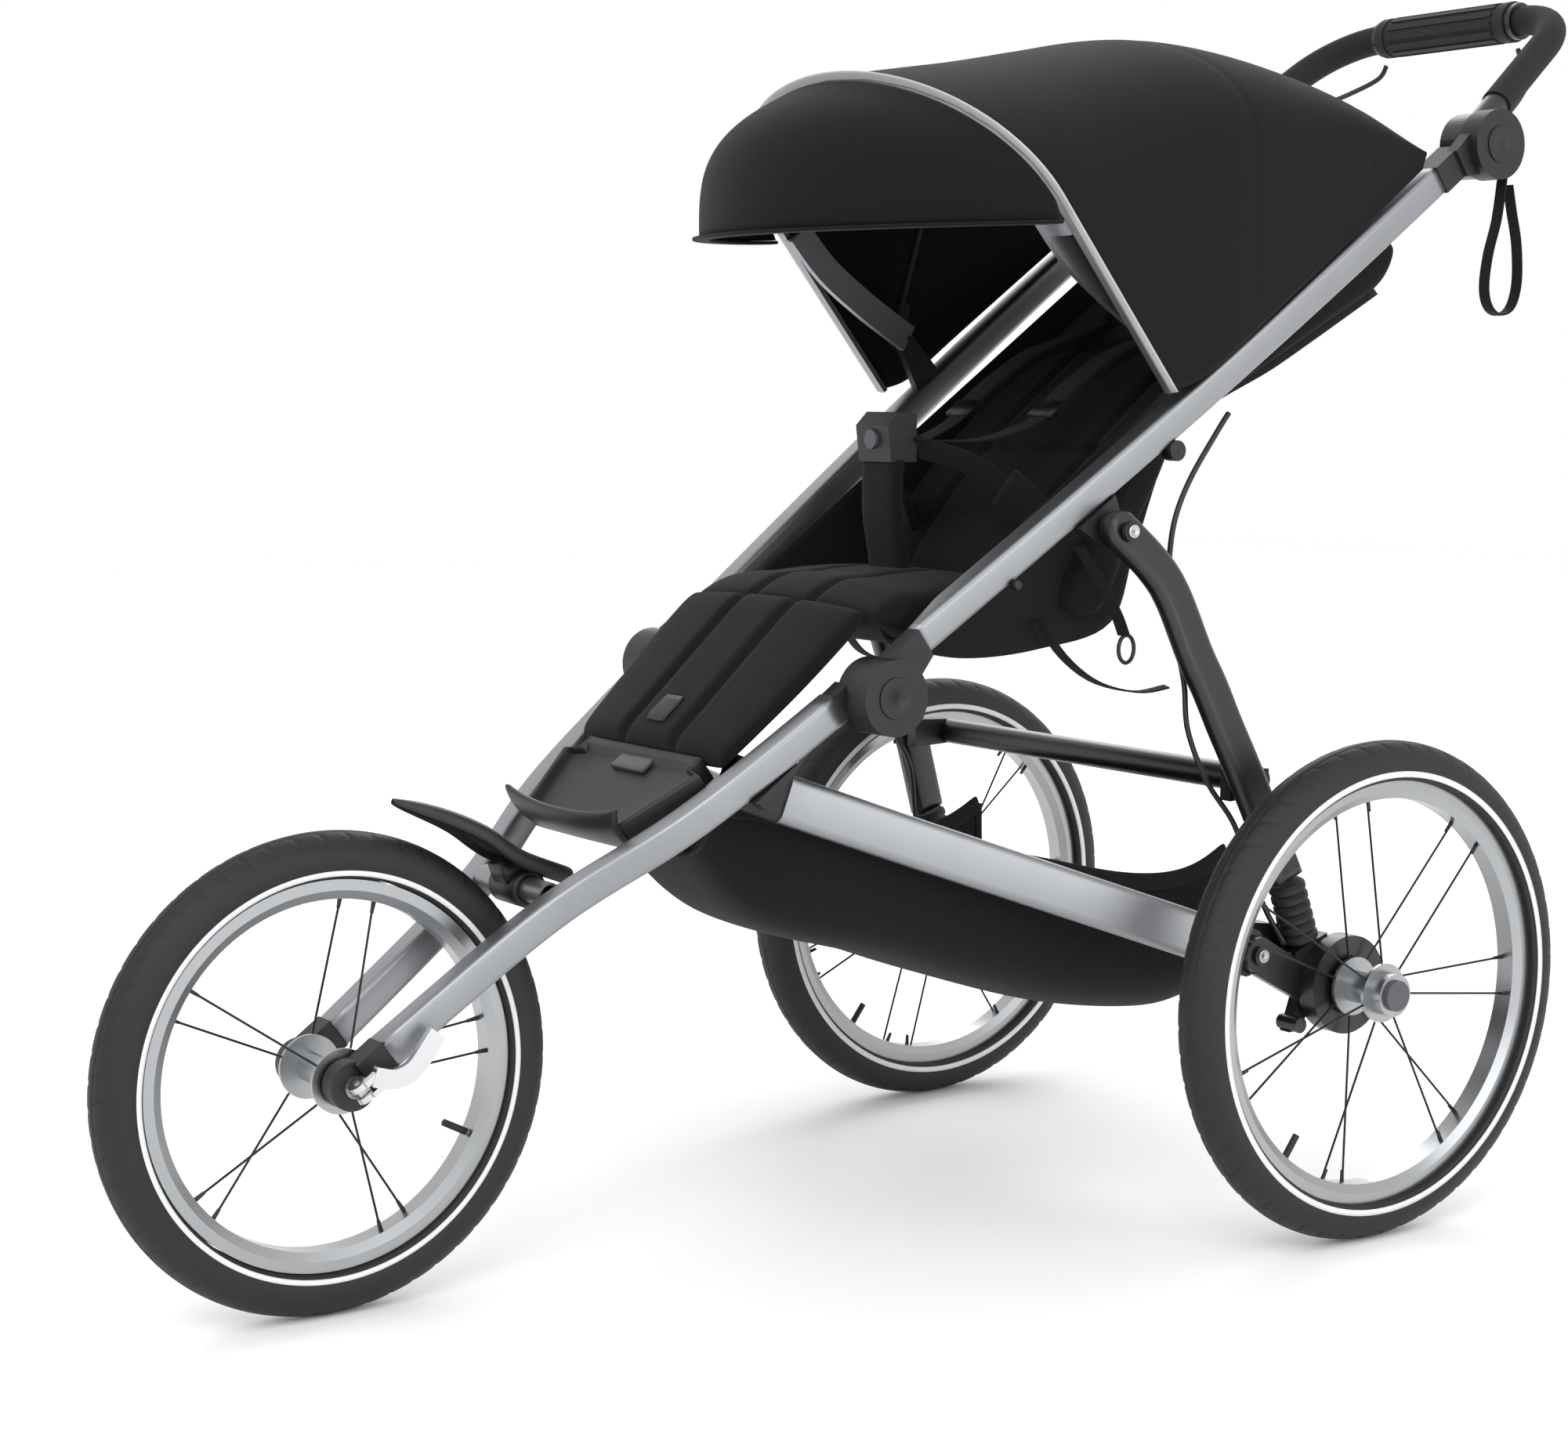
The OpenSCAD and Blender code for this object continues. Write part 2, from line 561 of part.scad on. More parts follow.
// ---- rear legs ----
leg_top = line_to_side(leg_pivot);
leg_line = [leg_top, [177, 594], [196, 566], [215, 516], [229, 486], [243, 451], [264, 402],
  [leg_foot[0] + 0.5, leg_foot[1] - 5]];
leg_w = 35;
leg_thick = 19;
leg_tilt = -atan2(leg_foot_x - leg_top_x, leg_top[1] - leg_foot[1]);
module tilted_leg() {
  translate([leg_top_x, 0, leg_top[1]]) rotate([0, leg_tilt, 0])
    translate([-leg_top_x, 0, -leg_top[1]]) children();
}
module leg(side) {
  color([0.12, 0.12, 0.13]) centred() on_side(side) tilted_leg() difference() {
    union() {
      slab(leg_top_x - leg_thick/2, leg_top_x + leg_thick/2, band(smooth(leg_line, 20), leg_w));
      translate([0, leg_top[0], leg_top[1]]) pin(leg_top_x - leg_thick/2, leg_top_x + leg_thick/2, leg_w/2);
    }
    translate([leg_top_x, leg_top[0], leg_top[1]]) rotate([0, -leg_tilt, 0]) pin(-40, 40, 5 + fit);
  }
}
module leg_left() { leg(1); }
module leg_right() { leg(-1); }
module leg_crossbar() {
  color([0.12, 0.12, 0.13]) centred() {
    at_axle(crossbar_at) pin(-226, 226, 12.5);
    both_sides() slab(222, 235, [[254, 386], [300, 388], [300, 412], [254, 414]]);
  }
}

// ---- rear frame ----
saddle = line_to_side(saddle_pivot);
side_angle = atan2(rear_pivot[1] - saddle[1], rear_pivot[0] - saddle[0]);
side_reach = norm(rear_pivot - saddle);
side_plan = [[side_start_x, -26], [side_start_x, 30], [148.8, 150], [256, 432]];
// Local axes of a side tube: X sideways, Y along it from the saddle pivot, Z up from it.
module on_side_tube(side) {
  centred() on_side(side) translate([0, saddle[0], saddle[1]]) rotate([side_angle, 0, 0]) children();
}
module side_tube(side) {
  inner = [for (i = [len(side_plan) - 1:-1:0]) side_plan[i] - [side_w, 0]];
  color("silver") on_side_tube(side) difference() {
    translate([0, 0, -side_h/2]) linear_extrude(side_h) polygon(concat(side_plan, inner));
    translate([0, 0, -side_h/2 + wall]) linear_extrude(side_h - 2*wall)
      polygon([[153, 170], [254.4, 433], [234.4, 433], [133, 170]]);
    pin(80, 130, 5 + fit);
  }
}
module side_tube_left() { side_tube(1); }
module side_tube_right() { side_tube(-1); }
module rear_axle_tube() {
  color("black") {
    both_sides_frame() {
      slab(240, 261.5, [[432.1, -21], [452, -21], [468, -12], [468, 12], [452, 21], [432.1, 21]]);
      slab(232, 242, [[432.1, -21], [462, -21], [518, 18], [514, 36], [500, 37], [432.1, 21]]);
      translate([0, side_reach, 0]) pin(261, 272.5, 5);
      translate([0, side_reach, 0]) pin(272, 275, 9);
    }
    centred() at_axle(pedal_pivot) pin(-241, 241, 11);
  }
}
module both_sides_frame() { for (side = [1, -1]) on_side_tube(side) children(); }

// The basket is a tub: half width, floor and rim heights at stations along Y.
basket_line = [[-196, 352, 84], [-150, 303, 86], [-100, 276, 98], [-9, 250, 125], [80, 218, 152],
  [170, 190, 168], [260, 176, 178], [302, 180, 180]];
basket_rim = [[-196, 398], [-100, 388], [0, 366], [100, 333], [200, 309], [302, 330]];
function basket_point(u, s, inset) =
  let (b = curve_at(basket_line, u), top = curve_at(basket_rim, u)[1], floor_z = b[1] + inset,
    z = floor_z + (top - floor_z)*pow(abs(s), 3), half = (b[2] - inset)*(1 - pow(1 - abs(s), 2.2)))
  [sign(s)*half, b[0], z];
function basket_grid(inset) = [for (i = [0:14]) [for (s = arch_steps) basket_point(i/14, s, inset)]];
module basket() {
  color([0.1, 0.1, 0.1]) centred() {
    shell(basket_grid(3), basket_grid(0));
  }
}

// ---- suspension, bellows and brake pedal ----
module suspension_arm(side) {
  color("black") centred() on_side(side) difference() {
    union() {
      slab(262.5, 271.5, [[rear_pivot[0] - 6, rear_pivot[1] - 16], [rear_axle[0] - 10, rear_axle[1] - 30],
        [rear_axle[0] + 20, rear_axle[1] - 22], [rear_axle[0] + 22, rear_axle[1] + 20],
        [338, 243], [303, 247], [rear_pivot[0] + 4, rear_pivot[1] + 16]]);
      at_axle(rear_pivot) pin(262.5, 271.5, 16);
      at_axle(rear_axle) pin(245, 271.5, 29);
      at_axle(rear_axle) pin(271.4, 290, 44);
      at_axle(rear_axle) pin(289, 332, 6);
      slab(245, 271.5, [[300, 240], [342, 244], [340.2, 266.2], [302.2, 252.1]]);
      slab(256, 268, [[300, 180], [314, 180], [330, 214], [316, 224]]);
      at_axle([306, 187]) pin(252, 276, 7);
      translate([262, 299, 240]) rotate([-4, 0, 0]) cylinder(h = 12, r = 6);
    }
    at_axle(rear_pivot) pin(240, 280, 5 + fit);
  }
}
module suspension_arm_left() { suspension_arm(1); }
module suspension_arm_right() { suspension_arm(-1); }
bellows_top = [300, 314];
bellows_len = norm(spring_foot + [-1, 6] - bellows_top);
bellows_lean = atan2(spring_foot[0] - 1 - bellows_top[0], bellows_top[1] - spring_foot[1] - 6);
module bellows(side) {
  pitch_z = bellows_len/6;
  profile = concat([[0, 0]], [for (i = [0:5]) each [[13.5, i*pitch_z], [16.5, (i + 0.3)*pitch_z],
    [16.5, (i + 0.7)*pitch_z]]], [[13.5, 6*pitch_z], [0, 6*pitch_z]]);
  color([0.15, 0.15, 0.16]) centred() on_side(side)
    translate([leg_foot_x - 1, bellows_top[0], bellows_top[1] - gap])
    rotate([180 + bellows_lean, 0, 0]) rotate_extrude() polygon(profile);
}
module bellows_left() { bellows(1); }
module bellows_right() { bellows(-1); }
module brake_pedal() {
  color("black") centred() difference() {
    union() {
      at_axle(pedal_pivot) pin(-16, 16, 15);
      slab(-5, 5, [[332, 249], [374, 236], [376, 246], [332, 263]]);
      slab(-32, 32, [[366, 232], [398, 226], [399, 234], [367, 241]]);
    }
    at_axle(pedal_pivot) pin(-40, 40, 11 + fit);
  }
}

// ---- brake cables ----
// Route of the left cable from the rail to the brake, and of each lead at the handlebar.
cable_route = [[199, 276, 724], [200, 262, 708], [200, 232, 668], [200, 215, 634], [200, 209, 600],
  [200, 210, 570], [204, 214, 530], [212, 218, 490], [220, 216, 450], [228, 232, 405], [236, 258, 366],
  [245, 271, 322], [255, 283, 286], [258.5, 297, 257]];
lead_route = [[88, 760, 1081], [96, 757, 1068], [118, 740, 1054], [140, 715, 1040], [158, 684, 1022],
  [170, 650, 1002], [178, 622, 992]];
cable_r = 2.5;
function ring_at(pts, i, r, sides) =
  let (n = len(pts) - 1, d = unit(pts[min(n, i + 1)] - pts[max(0, i - 1)]),
    e = unit(cross(d, [0.02, 0.3, 0.95])), f = cross(d, e))
  [for (k = [0:sides - 1]) pts[i] + r*(cos(k*360/sides)*e + sin(k*360/sides)*f)];
module sweep(pts, r, sides) {
  n = len(pts);
  rings = [for (i = [0:n - 1]) each ring_at(pts, i, r, sides)];
  walls = [for (i = [0:n - 2], k = [0:sides - 1]) let (m = (k + 1) % sides)
    [i*sides + k, i*sides + m, (i + 1)*sides + m, (i + 1)*sides + k]];
  caps = [[for (k = [sides - 1:-1:0]) k], [for (k = [0:sides - 1]) (n - 1)*sides + k]];
  polyhedron(rings, concat(walls, caps));
}
module brake_cables() {
  color("black") centred() both_sides() {
    sweep(smooth(cable_route, 26), cable_r, 8);
    sweep(smooth(lead_route, 11), cable_r, 8);
  }
}

// ---- wrist strap ----
strap_loop = [[592, 940], [586, 902], [576, 870], [572, 840], [578, 822], [592, 815], [608, 822],
  [616, 845], [614, 880], [606, 910], [600, 934]];
module wrist_strap() {
  color("black") centred() slab(216, 228, band(smooth(strap_loop, 30), 2.4));
}

front_tube_left();
front_tube_right();
dropout_left();
dropout_right();
fold_base_left();
fold_base_right();
front_cross_tube();
fender();
footrest();
front_axle();
side_saddles();
leg_panel();
front_tyre();
front_rim();
front_hub();
qr_lever();
rail_left();
rail_right();
fold_cover_left();
fold_cover_right();
upper_hub_left();
upper_hub_right();
rail_brackets();
seat_back();
seat_base();
harness();
crotch_pad();
buckle();
buckle_button();
canopy_fabric();
canopy_bow();
canopy_mid_bow();
visor();
handlebar();
handlebar_foam();
brake_grip();
tilt_button_left();
tilt_button_right();
leg_left();
leg_right();
leg_crossbar();
side_tube_left();
side_tube_right();
rear_axle_tube();
basket();
suspension_arm_left();
suspension_arm_right();
bellows_left();
bellows_right();
rear_tyre_left();
rear_tyre_right();
rear_rim_left();
rear_rim_right();
rear_hub_left();
rear_hub_right();
hub_button_left();
hub_button_right();
brake_pedal();
brake_cables();
wrist_strap();
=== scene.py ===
# %% [markdown]
# # A jogging stroller and its finishes
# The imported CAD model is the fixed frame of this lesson. Each step either gives a CAD piece a real
# material or replaces a plain solid with a modelled one. The frame is in metres, with X to the
# stroller's left, -Y forward and Z up. Sizes are written in mm, and place() turns them into metres.

# %% Load the frame
import math

import bpy
import bmesh
import numpy as np
from mathutils import Matrix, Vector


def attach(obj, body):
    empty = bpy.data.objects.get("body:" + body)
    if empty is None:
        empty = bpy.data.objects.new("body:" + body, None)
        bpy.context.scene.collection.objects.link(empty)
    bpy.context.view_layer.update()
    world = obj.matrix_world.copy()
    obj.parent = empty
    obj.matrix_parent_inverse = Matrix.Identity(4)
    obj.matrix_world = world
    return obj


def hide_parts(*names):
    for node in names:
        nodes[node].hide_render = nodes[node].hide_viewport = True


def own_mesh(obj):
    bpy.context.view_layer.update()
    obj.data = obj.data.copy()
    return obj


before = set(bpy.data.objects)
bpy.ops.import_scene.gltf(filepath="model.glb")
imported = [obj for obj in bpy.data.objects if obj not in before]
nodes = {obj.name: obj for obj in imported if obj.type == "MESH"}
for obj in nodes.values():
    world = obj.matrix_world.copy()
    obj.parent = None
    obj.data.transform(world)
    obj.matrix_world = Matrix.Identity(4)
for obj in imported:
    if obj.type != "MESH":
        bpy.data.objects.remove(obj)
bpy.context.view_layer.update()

# %% [markdown]
# ## Places shared with the CAD
# The whole frame is laid out along one sloping line. A place is given as its distance along that line
# and its height square to it, and turned into Y and Z here.

# %% The frame line and the shift that centres the model
MM = 0.001
PITCH = math.radians(35.93)
LINE = np.array([-114.1, 497.7])
FRONT_R, REAR_R, TYRE_R = 197.0, 221.1, 22
FRONT_RIM_R, REAR_RIM_R = 159.4, 187.3
FRONT_AXLE = np.array([0, -504.4, FRONT_R])
REAR_AXLE = np.array([318.2, 350.0, REAR_R])
TUBE_W, TUBE_H = 24.5, 27.0
FOLD_PIVOT, BAR_PIVOT = (26, -26), (834, -22)
BAR_ALONG, BAR_DROP, GRIP_R = 1065, 18, 20
FRONT_EDGE = FRONT_AXLE[1] - FRONT_R
BACK_EDGE = LINE[0] + BAR_ALONG*math.cos(PITCH) + BAR_DROP*math.sin(PITCH) + GRIP_R
SHIFT = -(FRONT_EDGE + BACK_EDGE)/2
SIDES = ("left", "right")
SIGNS = dict(zip(SIDES, (1, -1)))


def on_line(along, off):
    """Y and Z in mm of a point: line origin + along * (cos, sin) + off * (-sin, cos)."""
    along, off = np.asarray(along, float), np.asarray(off, float)
    return np.stack([LINE[0] + along*math.cos(PITCH) - off*math.sin(PITCH),
                     LINE[1] + along*math.sin(PITCH) + off*math.cos(PITCH)], -1)


def place(points):
    """Points in mm, before the model is centred, turned into metres in the frame."""
    return (np.asarray(points, float) + [0, SHIFT, 0])*MM


print("shift", round(SHIFT, 2), "mm; fold pivot at", on_line(*FOLD_PIVOT))

# %% [markdown]
# ## Smooth curves from a few points
# A Catmull-Rom curve passes through every point it is given, so a strap or a hem is written as the few
# places it touches. The whole curve is worked out at once as an array, which is quick and exact.


# %% Curves
def smooth(points, count):
    """Catmull-Rom curve: on each span 0.5*(2q + (r-p)t + (2p-5q+4r-s)t^2 + (3q-3r+s-p)t^3)."""
    points = np.asarray(points, float)
    last = len(points) - 1
    u = np.linspace(0, last, count)
    i = np.minimum(u.astype(int), last - 1)
    t = (u - i)[:, None]
    p, q, r, s = (points[np.clip(i + k, 0, last)] for k in (-1, 0, 1, 2))
    return 0.5*(2*q + (r - p)*t + (2*p - 5*q + 4*r - s)*t**2 + (3*q - 3*r + s - p)*t**3)


def unit(rows):
    """Each row divided by its length."""
    return rows/np.linalg.norm(rows, axis=1)[:, None]


def middle_plane(points):
    """Y and Z pairs given an X of 0."""
    return np.insert(points, 0, 0, axis=1)


def arc_lengths(grid, axis):
    """Distance from the first row, added up step by step and averaged over the other direction."""
    steps = np.linalg.norm(np.diff(grid, axis=axis), axis=-1).mean(axis=1 - axis)
    return np.concatenate([[0], np.cumsum(steps)])


print("a curve of", len(smooth([[0, 0], [1, 1], [2, 0]], 9)), "points")

# %% [markdown]
# ## Surfaces from grids of points
# Nearly every new piece here is a grid: rows along it, columns across it. The grid becomes faces in one
# step, and its UV map holds real distances in metres, so a woven pattern keeps its thread spacing.


# %% Grids to meshes
def surface(name, grid, around=False, capped=False, material=None, body=None, slot=None):
    """A grid of points (rows, columns, xyz) in metres made into quads; around joins the last column to
    the first and capped closes the first and last rows with one face each."""
    rows, cols = grid.shape[:2]
    closed = np.concatenate([grid, grid[:, :1]], 1) if around else grid
    i, j = np.meshgrid(np.arange(rows - 1), np.arange(closed.shape[1] - 1), indexing="ij")
    corner_i = np.stack([i, i, i + 1, i + 1], -1).reshape(-1, 4)
    corner_j = np.stack([j, j + 1, j + 1, j], -1).reshape(-1, 4)
    faces = (corner_i*cols + corner_j % cols).tolist()
    uv = np.stack([arc_lengths(closed, 1)[corner_j], arc_lengths(closed, 0)[corner_i]], -1).reshape(-1, 2)
    if capped:
        faces += [list(range(cols))[::-1], [(rows - 1)*cols + k for k in range(cols)]]
        uv = np.concatenate([uv, np.zeros((2*cols, 2))])
    mesh = bpy.data.meshes.new(name)
    mesh.from_pydata(grid.reshape(-1, 3).tolist(), [], faces)
    mesh.uv_layers.new(name="cloth").data.foreach_set("uv", uv.astype(np.float32).ravel())
    mesh.polygons.foreach_set("use_smooth", np.ones(len(faces), bool))
    piece = bpy.data.objects.new(name, mesh)
    bpy.context.scene.collection.objects.link(piece)
    if around and capped:
        outwards(piece)
    if material:
        mesh.materials.append(material)
    if body:
        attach(piece, body)
    return piece


def outwards(piece):
    """Merges doubled points and turns every face of a closed mesh outwards."""
    work = bmesh.new()
    work.from_mesh(piece.data)
    bmesh.ops.remove_doubles(work, verts=work.verts, dist=1e-6)
    bmesh.ops.recalc_face_normals(work, faces=work.faces)
    work.to_mesh(piece.data)
    work.free()


def thicken(piece, thickness, levels=0):
    """A wall of the given thickness in metres, half on each side of the sheet, then subdivided."""
    wall = piece.modifiers.new("wall", "SOLIDIFY")
    wall.thickness = thickness
    wall.offset = 0
    if levels:
        fine = piece.modifiers.new("fine", "SUBSURF")
        fine.levels = fine.render_levels = levels
    return piece


print("grids ready")

# %% [markdown]
# ## Sections carried along a path
# Tubes, straps, piping and cables are one section carried along a line. Two directions square to the
# line carry it: one is kept as close as possible to a chosen direction, so a strap never twists by itself.


# %% Sweeps
def sweep(name, path, section, side=(1, 0, 0), **look):
    """Each ring is path point + a * across + b * over, where over is the unit part of side x tangent and
    across the unit part square to both; section holds the (a, b) pairs in mm, path is in mm."""
    path = np.asarray(path, float)
    tangent = unit(np.gradient(path, axis=0))
    over = unit(np.cross(tangent, np.asarray(side, float)[None]))
    across = np.cross(over, tangent)
    section = np.asarray(section, float)
    if section.ndim == 2:
        section = np.repeat(section[None], len(path), 0)
    rings = path[:, None] + section[..., :1]*across[:, None] + section[..., 1:]*over[:, None]
    return surface(name, place(rings), around=True, capped=True, **look)


def circle(radius, count=12):
    """Points at equal angles on a circle, in mm."""
    a = np.linspace(0, 2*math.pi, count, endpoint=False)
    return radius*np.stack([np.cos(a), np.sin(a)], -1)


def flat(width, thickness, count=20, power=5):
    """A rounded flat section: |2a/w|^p + |2b/t|^p = 1, as a strap or webbing has."""
    a = np.linspace(0, 2*math.pi, count, endpoint=False)
    c, s = np.cos(a), np.sin(a)
    return np.stack([width/2*np.sign(c)*abs(c)**(2/power), thickness/2*np.sign(s)*abs(s)**(2/power)], -1)


def turned(name, profile, centre, count=64, **look):
    """A closed outline of (radius, x) pairs in mm turned about the X direction through centre."""
    profile = np.asarray(profile, float)
    a = np.linspace(0, 2*math.pi, count, endpoint=False)[:, None]
    grid = np.stack(np.broadcast_arrays(centre[0] + profile[:, 1], centre[1] + profile[:, 0]*np.cos(a),
                                        centre[2] + profile[:, 0]*np.sin(a)), -1)
    grid = np.concatenate([grid, grid[:1]])
    piece = surface(name, place(grid), around=True, **look)
    outwards(piece)
    return piece


print("sweeps ready")

# %% [markdown]
# ## The camera
# A long lens far off keeps the wheels nearly round. It looks from the front left,
# a little above the seat. The matrix columns are the camera's right, up and backward directions.

# %% Camera
AZIMUTH, ELEVATION, ROLL = (math.radians(a) for a in (55.4716, 6.6683, 0.2083))
back = np.array([math.sin(AZIMUTH)*math.cos(ELEVATION), -math.cos(AZIMUTH)*math.cos(ELEVATION),
                 math.sin(ELEVATION)])
right = np.array([math.cos(AZIMUTH), math.sin(AZIMUTH), 0])
up = np.cross(back, right)
right, up = (right*math.cos(ROLL) + up*math.sin(ROLL), up*math.cos(ROLL) - right*math.sin(ROLL))
eye = np.array([-0.0863, SHIFT*MM, 0.4389]) + 2.6017*back
lens = bpy.data.cameras.new("camera")
lens.lens, lens.sensor_width = 65.16, 36
camera = bpy.data.objects.new("camera", lens)
pose = np.eye(4)
pose[:3, 0], pose[:3, 1], pose[:3, 2], pose[:3, 3] = right, up, back, eye
camera.matrix_world = Matrix(pose.tolist())
bpy.context.scene.collection.objects.link(camera)
bpy.context.scene.camera = camera
print("camera at", eye.round(3))

# %% [markdown]
# ## Floor and light
# A black object on a pale ground needs wide soft lights: their long reflections draw the edges of the
# tubes and lift the folds of the fabric. Three large panels and a pale surround do that evenly.


# %% Studio
def hex_colour(code):
    """sRGB hex turned to linear: c/12.92 below 0.04045, else ((c + 0.055)/1.055)^2.4."""
    c = np.array([int(code[k:k + 2], 16) for k in (1, 3, 5)])/255
    return (*np.where(c <= 0.04045, c/12.92, ((c + 0.055)/1.055)**2.4).tolist(), 1.0)


def add(tree, kind, inputs=None, **settings):
    """Adds one node, sets its properties, and links or sets its inputs by name or number."""
    made = tree.nodes.new(kind)
    for key, value in settings.items():
        setattr(made, key, value)
    for key, value in (inputs or {}).items():
        if isinstance(value, bpy.types.NodeSocket):
            tree.links.new(value, made.inputs[key])
        else:
            made.inputs[key].default_value = value
    return made


def panel(name, place_at, aim, size, power):
    """A square soft light at place_at, turned to face aim."""
    light = bpy.data.lights.new(name, "AREA")
    light.size, light.energy = size, power
    lamp = bpy.data.objects.new(name, light)
    away = np.array(place_at, float) - aim
    lamp.matrix_world = (Matrix.Translation(place_at)
                         @ Vector(away).to_track_quat("Z", "Y").to_matrix().to_4x4())
    bpy.context.scene.collection.objects.link(lamp)


world = bpy.data.worlds.new("surround")
bpy.context.scene.world = world
bpy.context.scene.view_settings.view_transform = "Standard"
world.use_nodes = True
world.node_tree.nodes["Background"].inputs["Color"].default_value = hex_colour("#ffffff")
world.node_tree.nodes["Background"].inputs["Strength"].default_value = 1.0
middle = np.array([0, 0, 0.5])
panel("key_panel", (2.2, -2.6, 3.2), middle, 2.6, 60)
panel("side_panel", (3.6, 0.6, 1.5), middle, 2.2, 30)
panel("back_panel", (-2.5, 2.4, 2.6), middle, 2.6, 50)
print("three panels")

# %% [markdown]
# ## Materials
# Each material starts from what the real one is and how its surface was made. One helper builds the
# shader and its fine relief, so a finish is a name, a colour, a gloss and the size of its grain in mm.


# %% The shader helpers
def begin(name):
    """A new node material: the material, its tree and its Principled shader."""
    made = bpy.data.materials.new(name)
    made.use_nodes = True
    return made, made.node_tree, made.node_tree.nodes["Principled BSDF"]


def maths(tree, operation, first, second=0.5):
    """The output of one maths node."""
    return add(tree, "ShaderNodeMath", {0: first, 1: second}, operation=operation).outputs[0]


def between(tree, share, low, high):
    """low to high as share goes from 0 to 1."""
    return add(tree, "ShaderNodeMapRange", {0: share, 3: low, 4: high}).outputs[0]


def noise(tree, where, scale, detail=2.0):
    """Smooth noise from 0 to 1 with scale cells to a metre."""
    return add(tree, "ShaderNodeTexNoise", {"Vector": where, "Scale": scale, "Detail": detail}).outputs[0]


def drifting(tree, colour, variation, drift):
    """The colour times (1 - variation) to (1 + variation) as drift goes from 0 to 1."""
    base = np.array(hex_colour(colour)[:3])
    return add(tree, "ShaderNodeMix", {0: drift, 6: (*base*(1 - variation), 1),
                                       7: (*np.minimum(base*(1 + variation), 1), 1)},
               data_type="RGBA").outputs[2]


def material(name, colour, roughness, metallic=0.0, grain=0.6, depth=0.05, variation=0.12,
             blotch=35.0, **extra):
    """A Principled surface whose colour and gloss drift over blotch mm and whose relief has grain mm."""
    made, tree, shader = begin(name)
    where = add(tree, "ShaderNodeTexCoord").outputs["Object"]
    drift = noise(tree, where, 1000/blotch, 3.0)
    fine = noise(tree, where, 1000/grain)
    tint = drifting(tree, colour, variation, drift)
    gloss = between(tree, fine, roughness*0.88, roughness*1.12)
    relief = add(tree, "ShaderNodeBump", {"Strength": depth, "Distance": 0.001, "Height": fine})
    tree.links.new(tint, shader.inputs["Base Color"])
    tree.links.new(gloss, shader.inputs["Roughness"])
    tree.links.new(relief.outputs[0], shader.inputs["Normal"])
    shader.inputs["Metallic"].default_value = metallic
    for key, value in extra.items():
        shader.inputs[key.replace("_", " ").title()].default_value = value
    return made


print("shader helper ready")

# %% [markdown]
# ### Hard materials
# The tubes are extruded aluminium, bead-blasted and anodised, which leaves a satin sheen with no lines.
# Hubs and joints are glass-filled nylon with a spark-eroded mould texture about half a millimetre wide.
# The rear legs and arms are powder coated, which looks like fine orange peel under a low gloss.

# %% Hard finishes
aluminium = material("anodised_aluminium", "#9a9c9f", 0.44, 1.0, grain=0.5, depth=0.03, variation=0.04)
nylon = material("moulded_nylon", "#131416", 0.48, grain=0.5, depth=0.12, variation=0.1)
soft_grey = material("grey_abs", "#4a4b4f", 0.45, grain=0.5, depth=0.08)
powder = material("powder_coat", "#0f0f11", 0.36, grain=0.9, depth=0.08, variation=0.1, coat_weight=0.25,
                  coat_roughness=0.3)
steel = material("zinc_plated_steel", "#b9babc", 0.3, 1.0, grain=0.4, depth=0.02, variation=0.06)
polished = material("polished_steel", "#d3d4d6", 0.14, 1.0, grain=1.5, depth=0.01, variation=0.03)
foam = material("closed_cell_foam", "#121213", 0.85, grain=0.7, depth=0.35, variation=0.15)
grip_rubber = material("grip_rubber", "#17181a", 0.7, grain=0.6, depth=0.2)
bellows_rubber = material("bellows_rubber", "#151618", 0.6, grain=0.8, depth=0.15)
tyre_rubber = material("tyre_rubber", "#0e0e10", 0.6, grain=0.7, depth=0.18, variation=0.12)
reflective = material("reflective_band", "#dcdddf", 0.38, grain=0.4, depth=0.03, variation=0.03)
cable_skin = material("cable_sheath", "#0f0f10", 0.42, grain=0.8, depth=0.04)
print(len(bpy.data.materials), "hard finishes")

# %% [markdown]
# ### Cloth
# The canopy is a plain weave, the seat is a ribbed knit, the straps are twill webbing and the basket is
# ripstop. Threads are drawn two to three times coarser than life, because finer ones would blur away. The
# patterns use the UV map, which is in metres.


# %% Cloth shader
def cloth(name, colour, thread=1.4, ribs=0.0, depth=0.35, roughness=0.9, variation=0.12):
    """Relief = product of two sine waves a thread apart in mm, plus 0.6 sin along one way for ribs."""
    made, tree, shader = begin(name)
    where = add(tree, "ShaderNodeUVMap", uv_map="cloth").outputs[0]
    drift = noise(tree, where, 22.0, 3.0)
    tint = drifting(tree, colour, variation, drift)
    turns = 2*math.pi*1000/thread
    split = add(tree, "ShaderNodeSeparateXYZ", {0: where}).outputs

    def sine(axis, rate):
        return maths(tree, "SINE", maths(tree, "MULTIPLY", split[axis], rate))

    height = maths(tree, "MULTIPLY", sine(0, turns), sine(1, turns))
    if ribs:
        rib = maths(tree, "MULTIPLY", sine(1, 2*math.pi*1000/ribs), 0.6)
        height = maths(tree, "ADD", height, rib)
    relief = add(tree, "ShaderNodeBump", {"Strength": depth, "Distance": 0.0006, "Height": height})
    tree.links.new(tint, shader.inputs["Base Color"])
    tree.links.new(relief.outputs[0], shader.inputs["Normal"])
    shader.inputs["Roughness"].default_value = roughness
    shader.inputs["Sheen Weight"].default_value = 0.05
    shader.inputs["Sheen Roughness"].default_value = 0.5
    shader.inputs["Specular IOR Level"].default_value = 0.25
    return made


